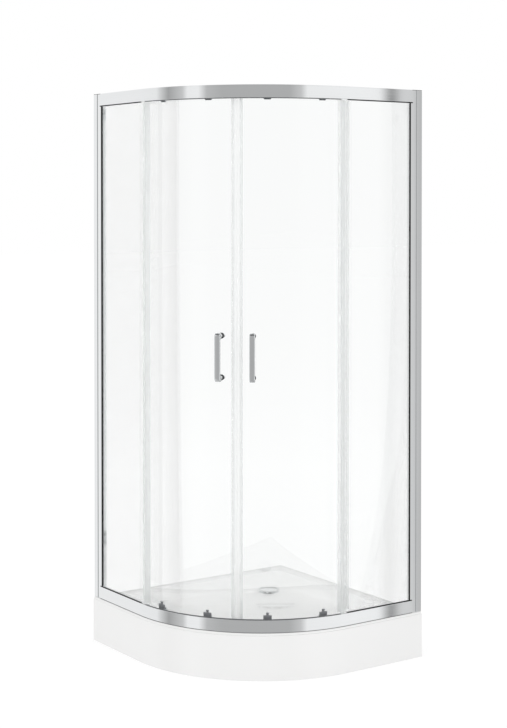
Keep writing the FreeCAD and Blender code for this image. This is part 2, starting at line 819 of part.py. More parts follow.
def grip_skins(theta0, theta1, skin, z0, z1):
    """The two thin cheeks of a push-on seal, outside and inside the door glass."""
    out = door_outer + seal_slot_gap
    inn = door_inner - seal_slot_gap
    return [ring_sector(out, out + skin, theta0, theta1, z0, z1),
            ring_sector(inn - skin, inn, theta0, theta1, z0, z1)]


def magnet_seal():
    """Magnetic meeting profile pushed onto the door's front edge."""
    end = meeting_theta - arc_angle(meeting_gap / 2)
    grip = glass_theta1 - arc_angle(meeting_profile_grip)
    edge = glass_theta1 + arc_angle(seal_slot_gap)
    skin = meeting_profile_skin
    out = door_outer + seal_slot_gap + skin
    inn = door_inner - seal_slot_gap - skin
    cheeks = grip_skins(grip, edge, skin, door_z0, door_z1)
    bulb = ring_sector(inn - meeting_nose, out + meeting_nose, edge, end, door_z0, door_z1)
    return one(cheeks + [bulb])


def rear_seal():
    """Seal on the door's back edge, with a leg that closes towards the fixed pane."""
    z0 = rail_z + rail_height + seal_rail_gap
    z1 = top_z - rail_height - seal_rail_gap
    start = -arc_angle(rear_seal_edge)
    edge = glass_theta0 - arc_angle(seal_slot_gap)
    grip = start + arc_angle(rear_seal_grip)
    skin = edge_profile_skin
    out = door_outer + seal_slot_gap + skin
    inn = door_inner - seal_slot_gap - skin
    cheeks = grip_skins(edge, grip, skin, z0, z1)
    back = ring_sector(inn, out + rear_seal_leg, start, edge, z0, z1)
    return one(cheeks + [back])


def handle():
    """D handle: a bar whose ends turn in to two round posts."""
    x0 = door_outer + glass_seat_gap + handle_ring_thickness
    outer = door_outer + handle_stand_off
    inner = outer - handle_bar_thickness
    foot = outer - handle_foot_reach
    end = handle_length / 2
    step = end - handle_foot_height
    tip = handle_tip_radius
    corners = [(foot, end, tip), (outer, end, handle_bend_radius), (outer, -end, handle_bend_radius),
               (foot, -end, tip), (foot, -step, tip), (inner, -step + tip, handle_inner_radius),
               (inner, step - tip, handle_inner_radius), (foot, step, tip)]
    side = handle_width / 2
    wire = rounded_wire(corners, lambda x, z: Vector(x, -side, handle_z + z))
    bar = Part.Face(wire).extrude(Vector(0, handle_width, 0))
    rims = [edge for edge in bar.Edges if abs(abs(edge.CenterOfMass.y) - side) < 0.01]
    bar = bar.makeFillet(handle_edge_radius, rims)
    posts = [rod(handle_post_radius, x0, foot + handle_tip_radius, 0, z) for z in handle_posts()]
    solid = one([bar] + posts)
    for z in handle_posts():
        solid = solid.cut(rod(handle_screw_radius + handle_screw_gap, x0, x0 + handle_screw_reach, 0, z))
    return placed(solid, handle_theta)


def handle_rings():
    """Dark rings between the posts and the glass."""
    x0 = door_outer + glass_seat_gap
    x1 = x0 + handle_ring_thickness
    bore = handle_screw_radius + handle_screw_gap
    outline = [(x0, bore), (x0, handle_ring_radius), (x1 - handle_ring_edge, handle_ring_radius),
               (x1, handle_ring_radius - handle_ring_edge), (x1, bore)]
    return group([placed(turned_x(outline, 0, z), handle_theta) for z in handle_posts()])


def handle_caps():
    """Knob-shaped caps inside the door; their screws pass through the glass into the posts."""
    face = door_inner - glass_seat_gap
    low = face - handle_cap_height
    tip = door_outer + glass_seat_gap + handle_ring_thickness + handle_screw_reach - handle_screw_end
    edge = handle_cap_edge
    outline = [(low, 0), (low, handle_cap_radius - edge), (low + edge, handle_cap_radius),
               (face, handle_cap_radius), (face, handle_screw_radius), (tip, handle_screw_radius), (tip, 0)]
    return group([placed(turned_x(outline, 0, z), handle_theta) for z in handle_posts()])


# ---- Rollers: drawn with +X outward and +Y along the curve, then placed ----
def axle(z, root):
    """Collar, pin and head that carry a wheel; root is where the collar starts."""
    back = wheel_track - wheel_width / 2 - wheel_side_gap
    front = wheel_track + wheel_width / 2 - wheel_recess_depth + wheel_side_gap
    tip = wheel_track + wheel_width / 2
    return [rod(axle_collar_radius, root, back, 0, z), rod(axle_radius, root, tip, 0, z),
            rod(axle_head_radius, front, tip, 0, z)]


def rounded_plate(x0, x1, y0, y1, z0, z1, radius):
    """Flat plate across X with rounded corners."""
    wire = rounded_wire([(y0, z0, radius), (y1, z0, radius), (y1, z1, radius), (y0, z1, radius)],
                        lambda y, z: Vector(x0, y, z))
    return Part.Face(wire).extrude(Vector(x1 - x0, 0, 0))


def top_hanger():
    """Plate bolted to the glass, with the axle of a top wheel."""
    body = rounded_plate(carrier_in, carrier_out, -carrier_half_width, carrier_half_width,
                         top_z - hanger_back, top_z - hanger_front, carrier_corner)
    solid = one([body] + axle(top_wheel_z, carrier_out - overlap))
    return solid.cut(rod(hanger_bolt_radius, carrier_in, carrier_out - blind_end, 0, hanger_bolt_z))


def bottom_carrier():
    """Slotted plate bolted to the glass, with a hood above the rail that guides the slider."""
    top = rail_z + hood_top
    body = rounded_plate(carrier_in, carrier_out, -carrier_half_width, carrier_half_width,
                         rail_z + carrier_foot, top - hood_height / 2, carrier_corner)
    side = carrier_half_width
    lip = carrier_out + hood_wall
    hood = plate([(carrier_in, -side, hood_back_corner), (lip, -side, hood_corner), (lip, side, hood_corner),
                  (carrier_in, side, hood_back_corner)], top - hood_height, top)
    slot = block(carrier_in - through, carrier_out, -slot_half_width, slot_half_width, rail_z + slot_foot,
                 top + through)
    front = block(carrier_out, lip + through, -slot_half_width, slot_half_width, rail_z + slot_foot,
                  top - hood_height)
    solid = one([body, hood]).cut([slot, front])
    holes = [rod(carrier_bolt_radius, carrier_in, carrier_out - blind_end, y, rail_z + carrier_bolt_z)
             for y in (-carrier_bolt_offset, carrier_bolt_offset)]
    return solid.cut(holes)


def slider():
    """Release button, arm and axle of a bottom wheel, in one piece."""
    x0 = carrier_in + slider_play
    x1 = carrier_out - slider_play
    side = slot_half_width - slider_play
    lip = carrier_out + hood_wall
    wide = button_half_width
    neck = wide - button_neck_step
    button_z = rail_z + hood_top + slider_travel + button_gap
    arm = rounded_plate(x0, x1, -side, side, rail_z + slider_foot, rail_z + hood_top, slider_corner)
    stem = block(x0, x1, -neck, neck, rail_z + hood_top - slider_corner - overlap, button_z)
    head = plate([(x0, -wide, button_back_corner), (lip, -wide, button_corner), (lip, wide, button_corner),
                  (x0, wide, button_back_corner)], button_z, button_z + button_height)
    return one([arm, stem, head] + axle(bottom_wheel_z, x1 - overlap))


def release_spring():
    """Small compression spring between the carrier's foot and the slider."""
    x = (carrier_in + carrier_out) / 2
    tube = post(spring_radius, rail_z + slot_foot, rail_z + slider_foot, x, 0)
    return tube.cut(post(spring_radius - spring_wall, rail_z + slot_foot, rail_z + slider_foot, x, 0))


def wheel(z):
    """Nylon wheel with a crowned tread and a recess for the axle's head."""
    back = wheel_track - wheel_width / 2
    front = wheel_track + wheel_width / 2
    bore = axle_radius + wheel_bore_gap
    shoulder = wheel_radius - wheel_crown
    recess = front - wheel_recess_depth
    return turned_x([(back, bore), (back, shoulder), (back + wheel_crown, wheel_radius),
                     (front - wheel_crown, wheel_radius), (front, shoulder), (front, wheel_recess_radius),
                     (recess, wheel_recess_radius), (recess, bore)], 0, z)


def clamp(z):
    """Inner plate that sandwiches the glass."""
    x1 = door_inner - clamp_glass_gap
    return rounded_plate(x1 - clamp_thickness, x1, -clamp_half_width, clamp_half_width,
                         z - clamp_half_height, z + clamp_half_height, clamp_corner)


def clamp_plates():
    """Inner plates behind the hangers and the carriers, drilled for their bolts."""
    plates = []
    x0 = door_inner - clamp_glass_gap - clamp_thickness - through
    for theta in (rear_roller_theta, front_roller_theta):
        upper = clamp(hanger_bolt_z).cut(rod(hanger_bolt_radius, x0, door_inner, 0, hanger_bolt_z))
        holes = [rod(carrier_bolt_radius, x0, door_inner, y, rail_z + carrier_bolt_z)
                 for y in (-carrier_bolt_offset, carrier_bolt_offset)]
        lower = clamp(rail_z + carrier_bolt_z)
        plates += [placed(upper, theta), placed(lower.cut(holes), theta)]
    return group(plates)


def bolt(radius, y, z):
    """Bolt from the inner plate through the glass into the hanger or the carrier."""
    face = door_inner - clamp_glass_gap - clamp_thickness
    tip = carrier_out - blind_end
    back = face - bolt_head_height
    return turned_x([(back, 0), (back, bolt_head_radius), (face, bolt_head_radius), (face, radius),
                     (tip, radius), (tip, 0)], y, z)


def door_bolts():
    """All the bolts that hold the rollers to the glass."""
    bolts = []
    for theta in (rear_roller_theta, front_roller_theta):
        bolts.append(placed(bolt(hanger_bolt_radius, 0, hanger_bolt_z), theta))
        for y in (-carrier_bolt_offset, carrier_bolt_offset):
            bolts.append(placed(bolt(carrier_bolt_radius, y, rail_z + carrier_bolt_z), theta))
    return group(bolts)


def roller_carriers():
    """Both top hangers and both bottom carriers of a door."""
    parts = []
    for theta in (rear_roller_theta, front_roller_theta):
        parts += [placed(top_hanger(), theta), placed(bottom_carrier(), theta)]
    return group(parts)


def release_springs():
    """Both springs of a door."""
    return group([placed(release_spring(), theta) for theta in (rear_roller_theta, front_roller_theta)])


# ---- Nodes ----
def shared_nodes():
    """Pieces that stand once, or hold both sides in one node."""
    rail = bottom_rail()
    gasket = pane_gasket()
    cover = pocket_cover()
    return {
        "tray_shell": tray_shell(),
        "tray_apron": tray_apron(),
        "leg_sockets": leg_sockets(),
        "tray_legs": tray_legs(),
        "waste_flange": waste_flange(),
        "waste_cover": waste_cover(),
        "waste_seal": waste_seal(),
        "waste_body": waste_body(),
        "bottom_rail": rail,
        "top_rail": flipped(rail),
        "rail_gaskets": group([gasket, twin(gasket), flipped(gasket), twin(flipped(gasket))]),
        "pocket_covers": group([cover, flipped(cover)]),
        "setting_blocks": setting_blocks(),
        "rail_brackets": rail_brackets(),
        "door_stops": door_stops(),
        "profile_caps": profile_caps(),
        "lock_screws": lock_screws(),
    }


def left_nodes():
    """Left pieces; the right ones are their mirror images."""
    nodes = {
        "wall_profile": wall_profile(),
        "side_profile": side_profile(),
        "fixed_pane": fixed_pane(),
        "post_gasket": post_gasket(),
        "edge_profile": edge_profile(),
        "door_glass": door_glass(),
        "magnet_seal": magnet_seal(),
        "rear_seal": rear_seal(),
        "handle": handle(),
        "handle_rings": handle_rings(),
        "handle_caps": handle_caps(),
        "roller_carriers": roller_carriers(),
        "clamp_plates": clamp_plates(),
        "door_bolts": door_bolts(),
        "release_springs": release_springs(),
    }
    for name, theta in (("rear", rear_roller_theta), ("front", front_roller_theta)):
        nodes[name + "_slider"] = placed(slider(), theta)
        nodes[name + "_top_wheel"] = placed(wheel(top_wheel_z), theta)
        nodes[name + "_bottom_wheel"] = placed(wheel(bottom_wheel_z), theta)
    return nodes


def main():
    os.makedirs("parts", exist_ok=True)
    nodes = shared_nodes()
    for name, shape in left_nodes().items():
        nodes["left_" + name] = shape
        nodes["right_" + name] = twin(shape)
    for name, shape in nodes.items():
        shape.exportStep(os.path.join("parts", name + ".step"))


main()
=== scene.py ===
"""Looks of a quadrant shower enclosure: a white curved tray, chrome rails bent to a quarter circle,
two flat fixed panes and two bent glass doors that roll between the rails.

Lengths are millimetres until a mesh is made, which turns them to metres. The plan is the CAD's own:
the walls stand at +X and +Y, and the rounded front points to -X -Y. A left piece is worked out once,
and its right twin is its mirror image in the plane x = y, so x and y only change places.
"""
import json
import math

import bmesh
import bpy
import numpy as np
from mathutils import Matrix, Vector

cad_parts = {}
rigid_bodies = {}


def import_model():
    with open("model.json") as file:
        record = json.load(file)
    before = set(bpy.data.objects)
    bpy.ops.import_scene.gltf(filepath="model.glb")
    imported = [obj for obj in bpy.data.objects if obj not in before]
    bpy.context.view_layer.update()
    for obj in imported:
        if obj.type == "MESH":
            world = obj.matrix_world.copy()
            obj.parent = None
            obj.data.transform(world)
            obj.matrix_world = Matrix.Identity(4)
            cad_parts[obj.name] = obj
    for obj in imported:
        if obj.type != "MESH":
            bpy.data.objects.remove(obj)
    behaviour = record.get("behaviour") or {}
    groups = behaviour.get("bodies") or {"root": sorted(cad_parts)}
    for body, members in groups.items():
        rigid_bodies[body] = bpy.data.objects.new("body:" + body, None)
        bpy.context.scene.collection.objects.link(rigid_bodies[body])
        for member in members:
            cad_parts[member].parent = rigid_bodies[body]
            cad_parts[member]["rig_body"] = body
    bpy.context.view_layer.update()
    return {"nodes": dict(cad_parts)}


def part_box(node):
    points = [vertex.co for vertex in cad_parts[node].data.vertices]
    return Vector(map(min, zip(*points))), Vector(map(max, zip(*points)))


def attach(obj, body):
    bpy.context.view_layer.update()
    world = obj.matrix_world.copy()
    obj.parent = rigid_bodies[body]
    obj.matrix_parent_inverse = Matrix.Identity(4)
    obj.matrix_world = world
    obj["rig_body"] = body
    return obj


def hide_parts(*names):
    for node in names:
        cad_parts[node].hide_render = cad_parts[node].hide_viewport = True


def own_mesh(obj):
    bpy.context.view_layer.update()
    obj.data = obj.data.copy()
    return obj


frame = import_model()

MM = 0.001

# ---- Sizes taken from the frame ----
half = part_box("tray_shell")[1].x / MM
tray_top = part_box("tray_shell")[1].z / MM
skirt_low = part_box("tray_shell")[0].z / MM
apron_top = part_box("tray_apron")[1].z / MM
rail_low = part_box("bottom_rail")[0].z / MM
rail_face = -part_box("bottom_rail")[0].x / MM        # the rails' outer face, from the middle of the tray
enclosure_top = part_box("top_rail")[1].z / MM
wall_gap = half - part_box("bottom_rail")[1].x / MM   # from the wall to the rails' ends
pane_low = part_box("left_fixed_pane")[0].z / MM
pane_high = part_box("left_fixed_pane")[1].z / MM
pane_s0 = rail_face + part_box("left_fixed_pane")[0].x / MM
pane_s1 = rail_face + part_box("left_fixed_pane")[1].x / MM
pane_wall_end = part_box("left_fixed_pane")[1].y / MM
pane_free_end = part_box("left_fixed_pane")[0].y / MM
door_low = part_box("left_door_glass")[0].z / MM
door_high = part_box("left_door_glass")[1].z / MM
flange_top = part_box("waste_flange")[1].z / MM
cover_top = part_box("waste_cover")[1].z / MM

# ---- Sizes of the pieces' own forms ----
tray_radius = 550.0
face_inset = half - rail_face
curve_middle = np.array((tray_radius - half, tray_radius - half))
rail_radius = tray_radius - face_inset
door_outer = 503.8             # radius of the door glass's outer face
glass_thickness = 5.0
door_inner = door_outer - glass_thickness
glass_arris = 0.9
door_back_edge = 27.5          # along the glass, from the start of the curve
door_front_edge = 10.6         # along the glass, from the middle of the curve
meeting_line = 45.0            # middle of the curve, where the doors meet, in degrees along it
rear_roller = 8.8              # both rollers' places in degrees along the curve
front_roller = 32.5
drain = np.array((230.0, 230.0))   # its middle in plan
flat_margin = 0.06             # a shading edge is held this close to each arc


# ---- Meshes from numpy arrays ----
def unit(vectors):
    """Each vector divided by its own length."""
    return vectors / np.linalg.norm(vectors, axis=-1, keepdims=True)


def rounded(corners, steps=4):
    """Closed outline through corners (a, b, radius): a tangent arc at each radius, drawn with a point
    just outside each of its ends, so that the flat sides beside it shade flat."""
    loop = []
    for i, (a, b, radius) in enumerate(corners):
        here = np.array((a, b), float)
        if radius == 0:
            loop.append(here[None])
            continue
        before = unit(np.array(corners[i - 1][:2], float) - here)
        after = unit(np.array(corners[(i + 1) % len(corners)][:2], float) - here)
        half_angle = math.acos(np.clip(before @ after, -1, 1)) / 2
        setback = radius / math.tan(half_angle)
        middle = here + unit(before + after) * radius / math.sin(half_angle)
        start = here + before * setback - middle
        end = here + after * setback - middle
        turn = math.atan2(start[0] * end[1] - start[1] * end[0], start @ end)
        t = np.linspace(0, turn, steps + 1)[:, None]
        arc = middle + np.cos(t) * start + np.sin(t) * np.array((-start[1], start[0]))
        loop += [(here + before * (setback + flat_margin))[None], arc,
                 (here + after * (setback + flat_margin))[None]]
    return np.concatenate(loop)


def soft(points, radius):
    """Plain (a, b) points with the same corner radius everywhere."""
    return rounded([(a, b, radius) for a, b in points], steps=2)


def skin(points, wrap=True, ring=False, caps=True):
    """Quads over a grid of points (rows, columns, 3). wrap joins the last column to the first, ring
    joins the last row to the first, and caps closes the first and last rows with one face each."""
    rows, columns = points.shape[:2]
    number = np.arange(rows * columns).reshape(rows, columns)
    if wrap:
        number = np.concatenate([number, number[:, :1]], axis=1)
    if ring:
        number = np.concatenate([number, number[:1]], axis=0)
    quads = np.stack([number[:-1, :-1], number[:-1, 1:], number[1:, 1:], number[1:, :-1]], axis=-1)
    faces = quads.reshape(-1, 4).tolist()
    if caps and not ring:
        faces += [list(range(columns))[::-1], list(range((rows - 1) * columns, rows * columns))]
    return points.reshape(-1, 3), faces


def as_drawn(points):
    """Left points, as they are."""
    return points


def twin(points):
    """Right-hand copy of left points: x and y change places."""
    return points[..., [1, 0, 2]]


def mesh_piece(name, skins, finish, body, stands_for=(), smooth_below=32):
    """One object from several skins: doubles are merged, faces turned outwards, and edges that turn
    more than smooth_below degrees stay crisp."""
    shape = bmesh.new()
    for points, faces in skins:
        vertices = [shape.verts.new(p) for p in (points * MM).tolist()]
        for face in faces:
            shape.faces.new([vertices[k] for k in face])
    bmesh.ops.remove_doubles(shape, verts=shape.verts, dist=1e-7)
    bmesh.ops.recalc_face_normals(shape, faces=shape.faces)
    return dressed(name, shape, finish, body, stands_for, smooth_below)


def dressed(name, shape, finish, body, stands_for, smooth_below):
    """Turns a bmesh into a shaded object that rides on its body."""
    mesh = bpy.data.meshes.new(name)
    shape.to_mesh(mesh)
    shape.free()
    mesh.materials.append(finish)
    mesh.shade_smooth()
    mesh.set_sharp_from_angle(angle=math.radians(smooth_below))
    thing = bpy.data.objects.new(name, mesh)
    bpy.context.scene.collection.objects.link(thing)
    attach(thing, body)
    if stands_for:
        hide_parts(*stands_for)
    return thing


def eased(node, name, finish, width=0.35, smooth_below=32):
    """Copy of a CAD piece with its triangles merged and its sharp edges broken by a small bevel."""
    source = frame["nodes"][node]
    shape = bmesh.new()
    shape.from_mesh(source.data)
    bmesh.ops.remove_doubles(shape, verts=shape.verts, dist=1e-6)
    bmesh.ops.dissolve_limit(shape, angle_limit=math.radians(0.5), verts=shape.verts, edges=shape.edges)
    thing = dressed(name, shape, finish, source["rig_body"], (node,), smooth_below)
    if width:
        bevel = thing.modifiers.new("broken_edges", "BEVEL")
        bevel.width = width * MM
        bevel.segments = 2
        bevel.limit_method = "ANGLE"
        bevel.angle_limit = math.radians(smooth_below)
        bevel.harden_normals = True
    return thing


# ---- Paths ----
def curve_path(theta0, theta1, step=1.25):
    """Stations on the rails' outer face along the curve: the middle of the curve less the radius
    times the direction at theta. Returns plan points and the unit normals that point inwards."""
    count = max(2, int(abs(theta1 - theta0) / step) + 2)
    theta = np.radians(np.linspace(theta0, theta1, count))
    inward = np.stack([np.cos(theta), np.sin(theta)], axis=1)
    return curve_middle - rail_radius * inward, inward


def quadrant_path(from_wall):
    """The whole way round the rails' outer face: left straight, quarter circle, right straight. The
    straights stop just short of the curve, so that they shade flat."""
    points, inward = curve_path(0, 90)
    short = 1.0
    left = np.array([(-rail_face, half - from_wall), (-rail_face, curve_middle[1] + short)])
    right = left[::-1, ::-1]
    x, y = np.array([(1.0, 0.0)] * 2), np.array([(0.0, 1.0)] * 2)
    return np.concatenate([left, points, right]), np.concatenate([x, inward, y])


def carried(section, path):
    """Section (s, z) carried along a path: each point lies s along the inward normal, at height z."""
    origins, inward = path
    plan = origins[:, None] + section[None, :, :1] * inward[:, None]
    height = np.broadcast_to(section[None, :, 1:], plan.shape[:2] + (1,))
    return np.concatenate([plan, height], axis=2)


def turned(profile, middle, steps=72):
    """Profile (radius, z) turned about an upright axis through middle."""
    turn = np.linspace(0, 2 * np.pi, steps, endpoint=False)
    radius = profile[None, :, 0]
    x = middle[0] + np.cos(turn)[:, None] * radius
    y = middle[1] + np.sin(turn)[:, None] * radius
    z = np.broadcast_to(profile[None, :, 1], x.shape)
    return np.stack([x, y, z], axis=2)


def turned_level(profile, z, steps=40):
    """Profile (x, radius) turned about a level axis along the local +X, at height z."""
    turn = np.linspace(0, 2 * np.pi, steps, endpoint=False)[:, None]
    x = np.broadcast_to(profile[None, :, 0], (steps, len(profile)))
    return np.stack([x, np.cos(turn) * profile[None, :, 1], z + np.sin(turn) * profile[None, :, 1]], axis=2)


def placed(points, theta):
    """Local points, +X outward and +Y along the curve, moved to their place at theta degrees."""
    turn = math.radians(180 + theta)
    x, y, z = points[..., 0], points[..., 1], points[..., 2]
    return np.stack([curve_middle[0] + x * math.cos(turn) - y * math.sin(turn),
                     curve_middle[1] + x * math.sin(turn) + y * math.cos(turn), z], axis=-1)


def along_glass(length):
    """Angle along the curve, in degrees, that a length along the door's glass stands for."""
    return math.degrees(length / door_outer)


# ---- Materials ----
mix_colours = 6, 7             # a Mix node's two colour inputs
mix_result = 2                 # and its colour output
noise_low, noise_high = 0.25, 0.75


def linear(hex_colour, alpha=1.0):
    """Linear RGBA of an sRGB hex colour."""
    parts = [int(hex_colour[k:k + 2], 16) / 255 for k in (1, 3, 5)]
    return [p / 12.92 if p <= 0.04045 else ((p + 0.055) / 1.055) ** 2.4 for p in parts] + [alpha]


def add(tree, kind, inputs, **settings):
    """A node with its settings, and its inputs as values or as links from other nodes' sockets."""
    node = tree.nodes.new(kind)
    for name, value in settings.items():
        setattr(node, name, value)
    for name, value in inputs.items():
        if isinstance(value, bpy.types.NodeSocket):
            tree.links.new(value, node.inputs[name])
        else:
            node.inputs[name].default_value = value
    return node


def blank(name):
    """New material with only its output node."""
    finish = bpy.data.materials.new(name)
    finish.use_nodes = True
    finish.node_tree.nodes.clear()
    return finish, finish.node_tree


def grain(tree, scale, stretch=(1, 1, 1), detail=3.0):
    """Noise on Object coordinates, stretched along each axis; scale is in features per metre."""
    place = add(tree, "ShaderNodeTexCoord", {})
    mapping = add(tree, "ShaderNodeMapping", {"Vector": place.outputs["Object"], "Scale": stretch})
    return add(tree, "ShaderNodeTexNoise", {"Vector": mapping.outputs["Vector"], "Scale": scale,
                                            "Detail": detail}).outputs["Fac"]


def spread(tree, value, low, high):
    """Map a noise pattern, which seldom leaves noise_low..noise_high, to the range low..high."""
    ends = {"From Min": noise_low, "From Max": noise_high, "To Min": low, "To Max": high}
    return add(tree, "ShaderNodeMapRange", {"Value": value, **ends}).outputs["Result"]


def shade(tree, pattern, low, high):
    """Mix two hex colours by a 0..1 pattern."""
    mix = add(tree, "ShaderNodeMix", {"Factor": pattern}, data_type="RGBA")
    for socket, colour in zip(mix_colours, (low, high)):
        mix.inputs[socket].default_value = linear(colour)
    return mix.outputs[mix_result]


def greater(tree, one, other):
    """The greater of two values."""
    return add(tree, "ShaderNodeMath", {0: one, 1: other}, operation="MAXIMUM").outputs[0]


def surface(tree, inputs, bump=None, strength=0.1, depth=0.1):
    """Principled surface; bump is a height pattern whose full depth is given in millimetres."""
    shader = add(tree, "ShaderNodeBsdfPrincipled", inputs)
    if bump is not None:
        lift = add(tree, "ShaderNodeBump", {"Height": bump, "Strength": strength, "Distance": depth * MM})
        tree.links.new(lift.outputs["Normal"], shader.inputs["Normal"])
    add(tree, "ShaderNodeOutputMaterial", {"Surface": shader.outputs["BSDF"]})


def polished_extrusion(name, stretch):
    """Bright-dipped aluminium, pressed through a die and polished: a mirror with hairlines along the
    profile. Drawn lines of about 1 mm, coarser than real ones, so that they show."""
    finish, tree = blank(name)
    lines = grain(tree, 60, stretch)
    surface(tree, {"Base Color": shade(tree, lines, "#EEF0F1", "#F6F7F8"), "Metallic": 1.0,
                   "Roughness": spread(tree, lines, 0.03, 0.06)}, lines, 0.03, 0.02)
    return finish


def chrome_plate():
    """Chrome-plated zinc casting: a clean dark-bright mirror with a faint casting ripple."""
    finish, tree = blank("chrome_plated_zinc")
    ripple = grain(tree, 90)
    surface(tree, {"Base Color": shade(tree, ripple, "#E8EAEC", "#EEF0F1"), "Metallic": 1.0,
                   "Roughness": spread(tree, ripple, 0.05, 0.09)}, ripple, 0.03, 0.05)
    return finish


def sanitary_acrylic():
    """Vacuum-formed cast acrylic: glossy white with a soft orange-peel in its reflections."""
    finish, tree = blank("vacuum_formed_acrylic")
    peel = grain(tree, 45, detail=2.0)
    cloud = grain(tree, 2.5, detail=2.0)
    surface(tree, {"Base Color": shade(tree, cloud, "#F3F3F2", "#F6F6F6"), "IOR": 1.49,
                   "Roughness": spread(tree, cloud, 0.16, 0.24), "Coat Weight": 0.25,
                   "Coat Roughness": 0.08}, peel, 0.05, 0.15)
    return finish


def toughened_glass():
    """Clear toughened float glass with a coating: almost nothing but its reflections and a faint
    waviness from the tempering rollers, every 30 mm or so up the pane."""
    finish, tree = blank("toughened_float_glass")
    waves = grain(tree, 12, (0.6, 0.6, 2.5), detail=1.0)
    surface(tree, {"Base Color": linear("#EDF1F0"), "Transmission Weight": 1.0, "IOR": 1.52,
                   "Roughness": 0.0, "Alpha": 0.27}, waves, 0.02, 0.05)
    return finish


def soft_clear_vinyl():
    """Extruded soft PVC: milky clear, with draw lines up its length."""
    finish, tree = blank("extruded_soft_vinyl")
    lines = grain(tree, 350, (1, 1, 0.02))
    surface(tree, {"Base Color": shade(tree, lines, "#F2F4F4", "#F6F8F8"), "Transmission Weight": 0.55,
                   "IOR": 1.45, "Roughness": spread(tree, lines, 0.25, 0.35), "Alpha": 0.4})
    return finish


def gasket_rubber():
    """Extruded EPDM rubber: matt black with a dusty bloom."""
    finish, tree = blank("extruded_gasket_rubber")
    bloom = grain(tree, 220)
    surface(tree, {"Base Color": shade(tree, bloom, "#0C0C0D", "#161617"),
                   "Specular IOR Level": 0.25, "Roughness": spread(tree, bloom, 0.5, 0.7)}, bloom, 0.15, 0.05)
    return finish


def cover_strip_plastic():
    """Extruded rigid PVC strip, mid grey and satin."""
    finish, tree = blank("rigid_cover_strip")
    fine = grain(tree, 180, (1, 1, 4))
    surface(tree, {"Base Color": shade(tree, fine, "#5C5E60", "#696B6D"),
                   "Roughness": spread(tree, fine, 0.38, 0.5)}, fine, 0.08, 0.05)
    return finish


def moulded_acetal(name, low, high):
    """Injection-moulded acetal: spark-eroded satin with a fine even grain, about 0.6 mm across."""
    finish, tree = blank(name)
    sparks = grain(tree, 1600, detail=2.0)
    surface(tree, {"Base Color": shade(tree, sparks, low, high), "IOR": 1.48,
                   "Roughness": spread(tree, sparks, 0.36, 0.52)}, sparks, 0.2, 0.03)
    return finish


def zinc_plated_steel():
    """Bright zinc on cold-formed steel: a greyish, slightly cloudy metal."""
    finish, tree = blank("zinc_plated_steel")
    clouds = grain(tree, 260)
    surface(tree, {"Base Color": shade(tree, clouds, "#A9ADB1", "#C6C9CC"), "Metallic": 1.0,
                   "Roughness": spread(tree, clouds, 0.24, 0.4)}, clouds, 0.08, 0.03)
    return finish


def moulded_waste_plastic():
    """Injection-moulded polypropylene of a waste trap: waxy off-white with faint flow marks."""
    finish, tree = blank("moulded_polypropylene")
    flow = grain(tree, 30, (1, 1, 3))
    surface(tree, {"Base Color": shade(tree, flow, "#DCDCDA", "#E9E9E7"), "IOR": 1.49,
                   "Roughness": spread(tree, flow, 0.34, 0.46)}, flow, 0.1, 0.05)
    return finish


rail_metal = polished_extrusion("polished_rail_extrusion", (0.02, 0.02, 12))
post_metal = polished_extrusion("polished_post_extrusion", (12, 12, 0.02))
chrome = chrome_plate()
acrylic = sanitary_acrylic()
glass = toughened_glass()
vinyl = soft_clear_vinyl()
rubber = gasket_rubber()
strip_grey = cover_strip_plastic()
dark_acetal = moulded_acetal("moulded_dark_acetal", "#2C2D2F", "#3A3B3D")
grey_acetal = moulded_acetal("moulded_grey_acetal", "#85878A", "#96989B")
white_acetal = moulded_acetal("moulded_white_acetal", "#DAD9D4", "#E8E7E2")
zinc = zinc_plated_steel()
waste_plastic = moulded_waste_plastic()


# ---- Tray ----
def tray_outline(inset, corner):
    """Plan outline of the tray drawn in by an inset: the big front arc, three small corners of the
    given radius, and the straights between them, each with a fixed number of points."""
    edge = half - inset
    c = curve_middle[0]

    def arc(x, y, radius, start, stop, count):
        """Points round a corner, both ends included."""
        t = np.radians(np.linspace(start, stop, count))
        return np.stack([x + radius * np.cos(t), y + radius * np.sin(t)], axis=1)

    def side(a, b, count=8):
        """Points spread evenly between two corners, without the ends."""
        t = np.linspace(0, 1, count + 2)[1:-1, None]
        return np.array(a) * (1 - t) + np.array(b) * t

    k = edge - corner
    return np.concatenate([
        arc(c, c, tray_radius - inset, 180, 270, 73), side((c, -edge), (k, -edge)),
        arc(k, -k, corner, 270, 360, 9), side((edge, -k), (edge, k), 16),
        arc(k, k, corner, 0, 90, 9), side((k, edge), (-k, edge), 16),
        arc(-k, k, corner, 90, 180, 9), side((-edge, k), (-edge, c)),
    ])


rim_width = 60.0
rim_thickness = 8.0
rim_corner = 8.0
skirt_inset = 7.0              # from the rim's edge to the skirt's outer face
skirt_wall = 4.0
basin_edge_width = 92.0
basin_shoulder = 0.05          # the round start of the basin's edge, as a share of its width
basin_depth = 35.0
basin_corner = 45.0
floor_fall = 12.0              # over the length of a side, towards the drain
floor_blend = 3.0
shell_wall = 5.0
drain_hole = 30.0
drain_seat = 43.0
flange_thickness = 2.0
floor_low = flange_top - flange_thickness


def soft_edge(t):
    """Share of the basin's depth reached at a share t of its edge: a short round shoulder, then a
    fall that eases off as one minus the square of what is left."""
    fall = (1 + basin_shoulder) * t * t / (t + basin_shoulder)
    return 1 - (1 - fall) ** 2


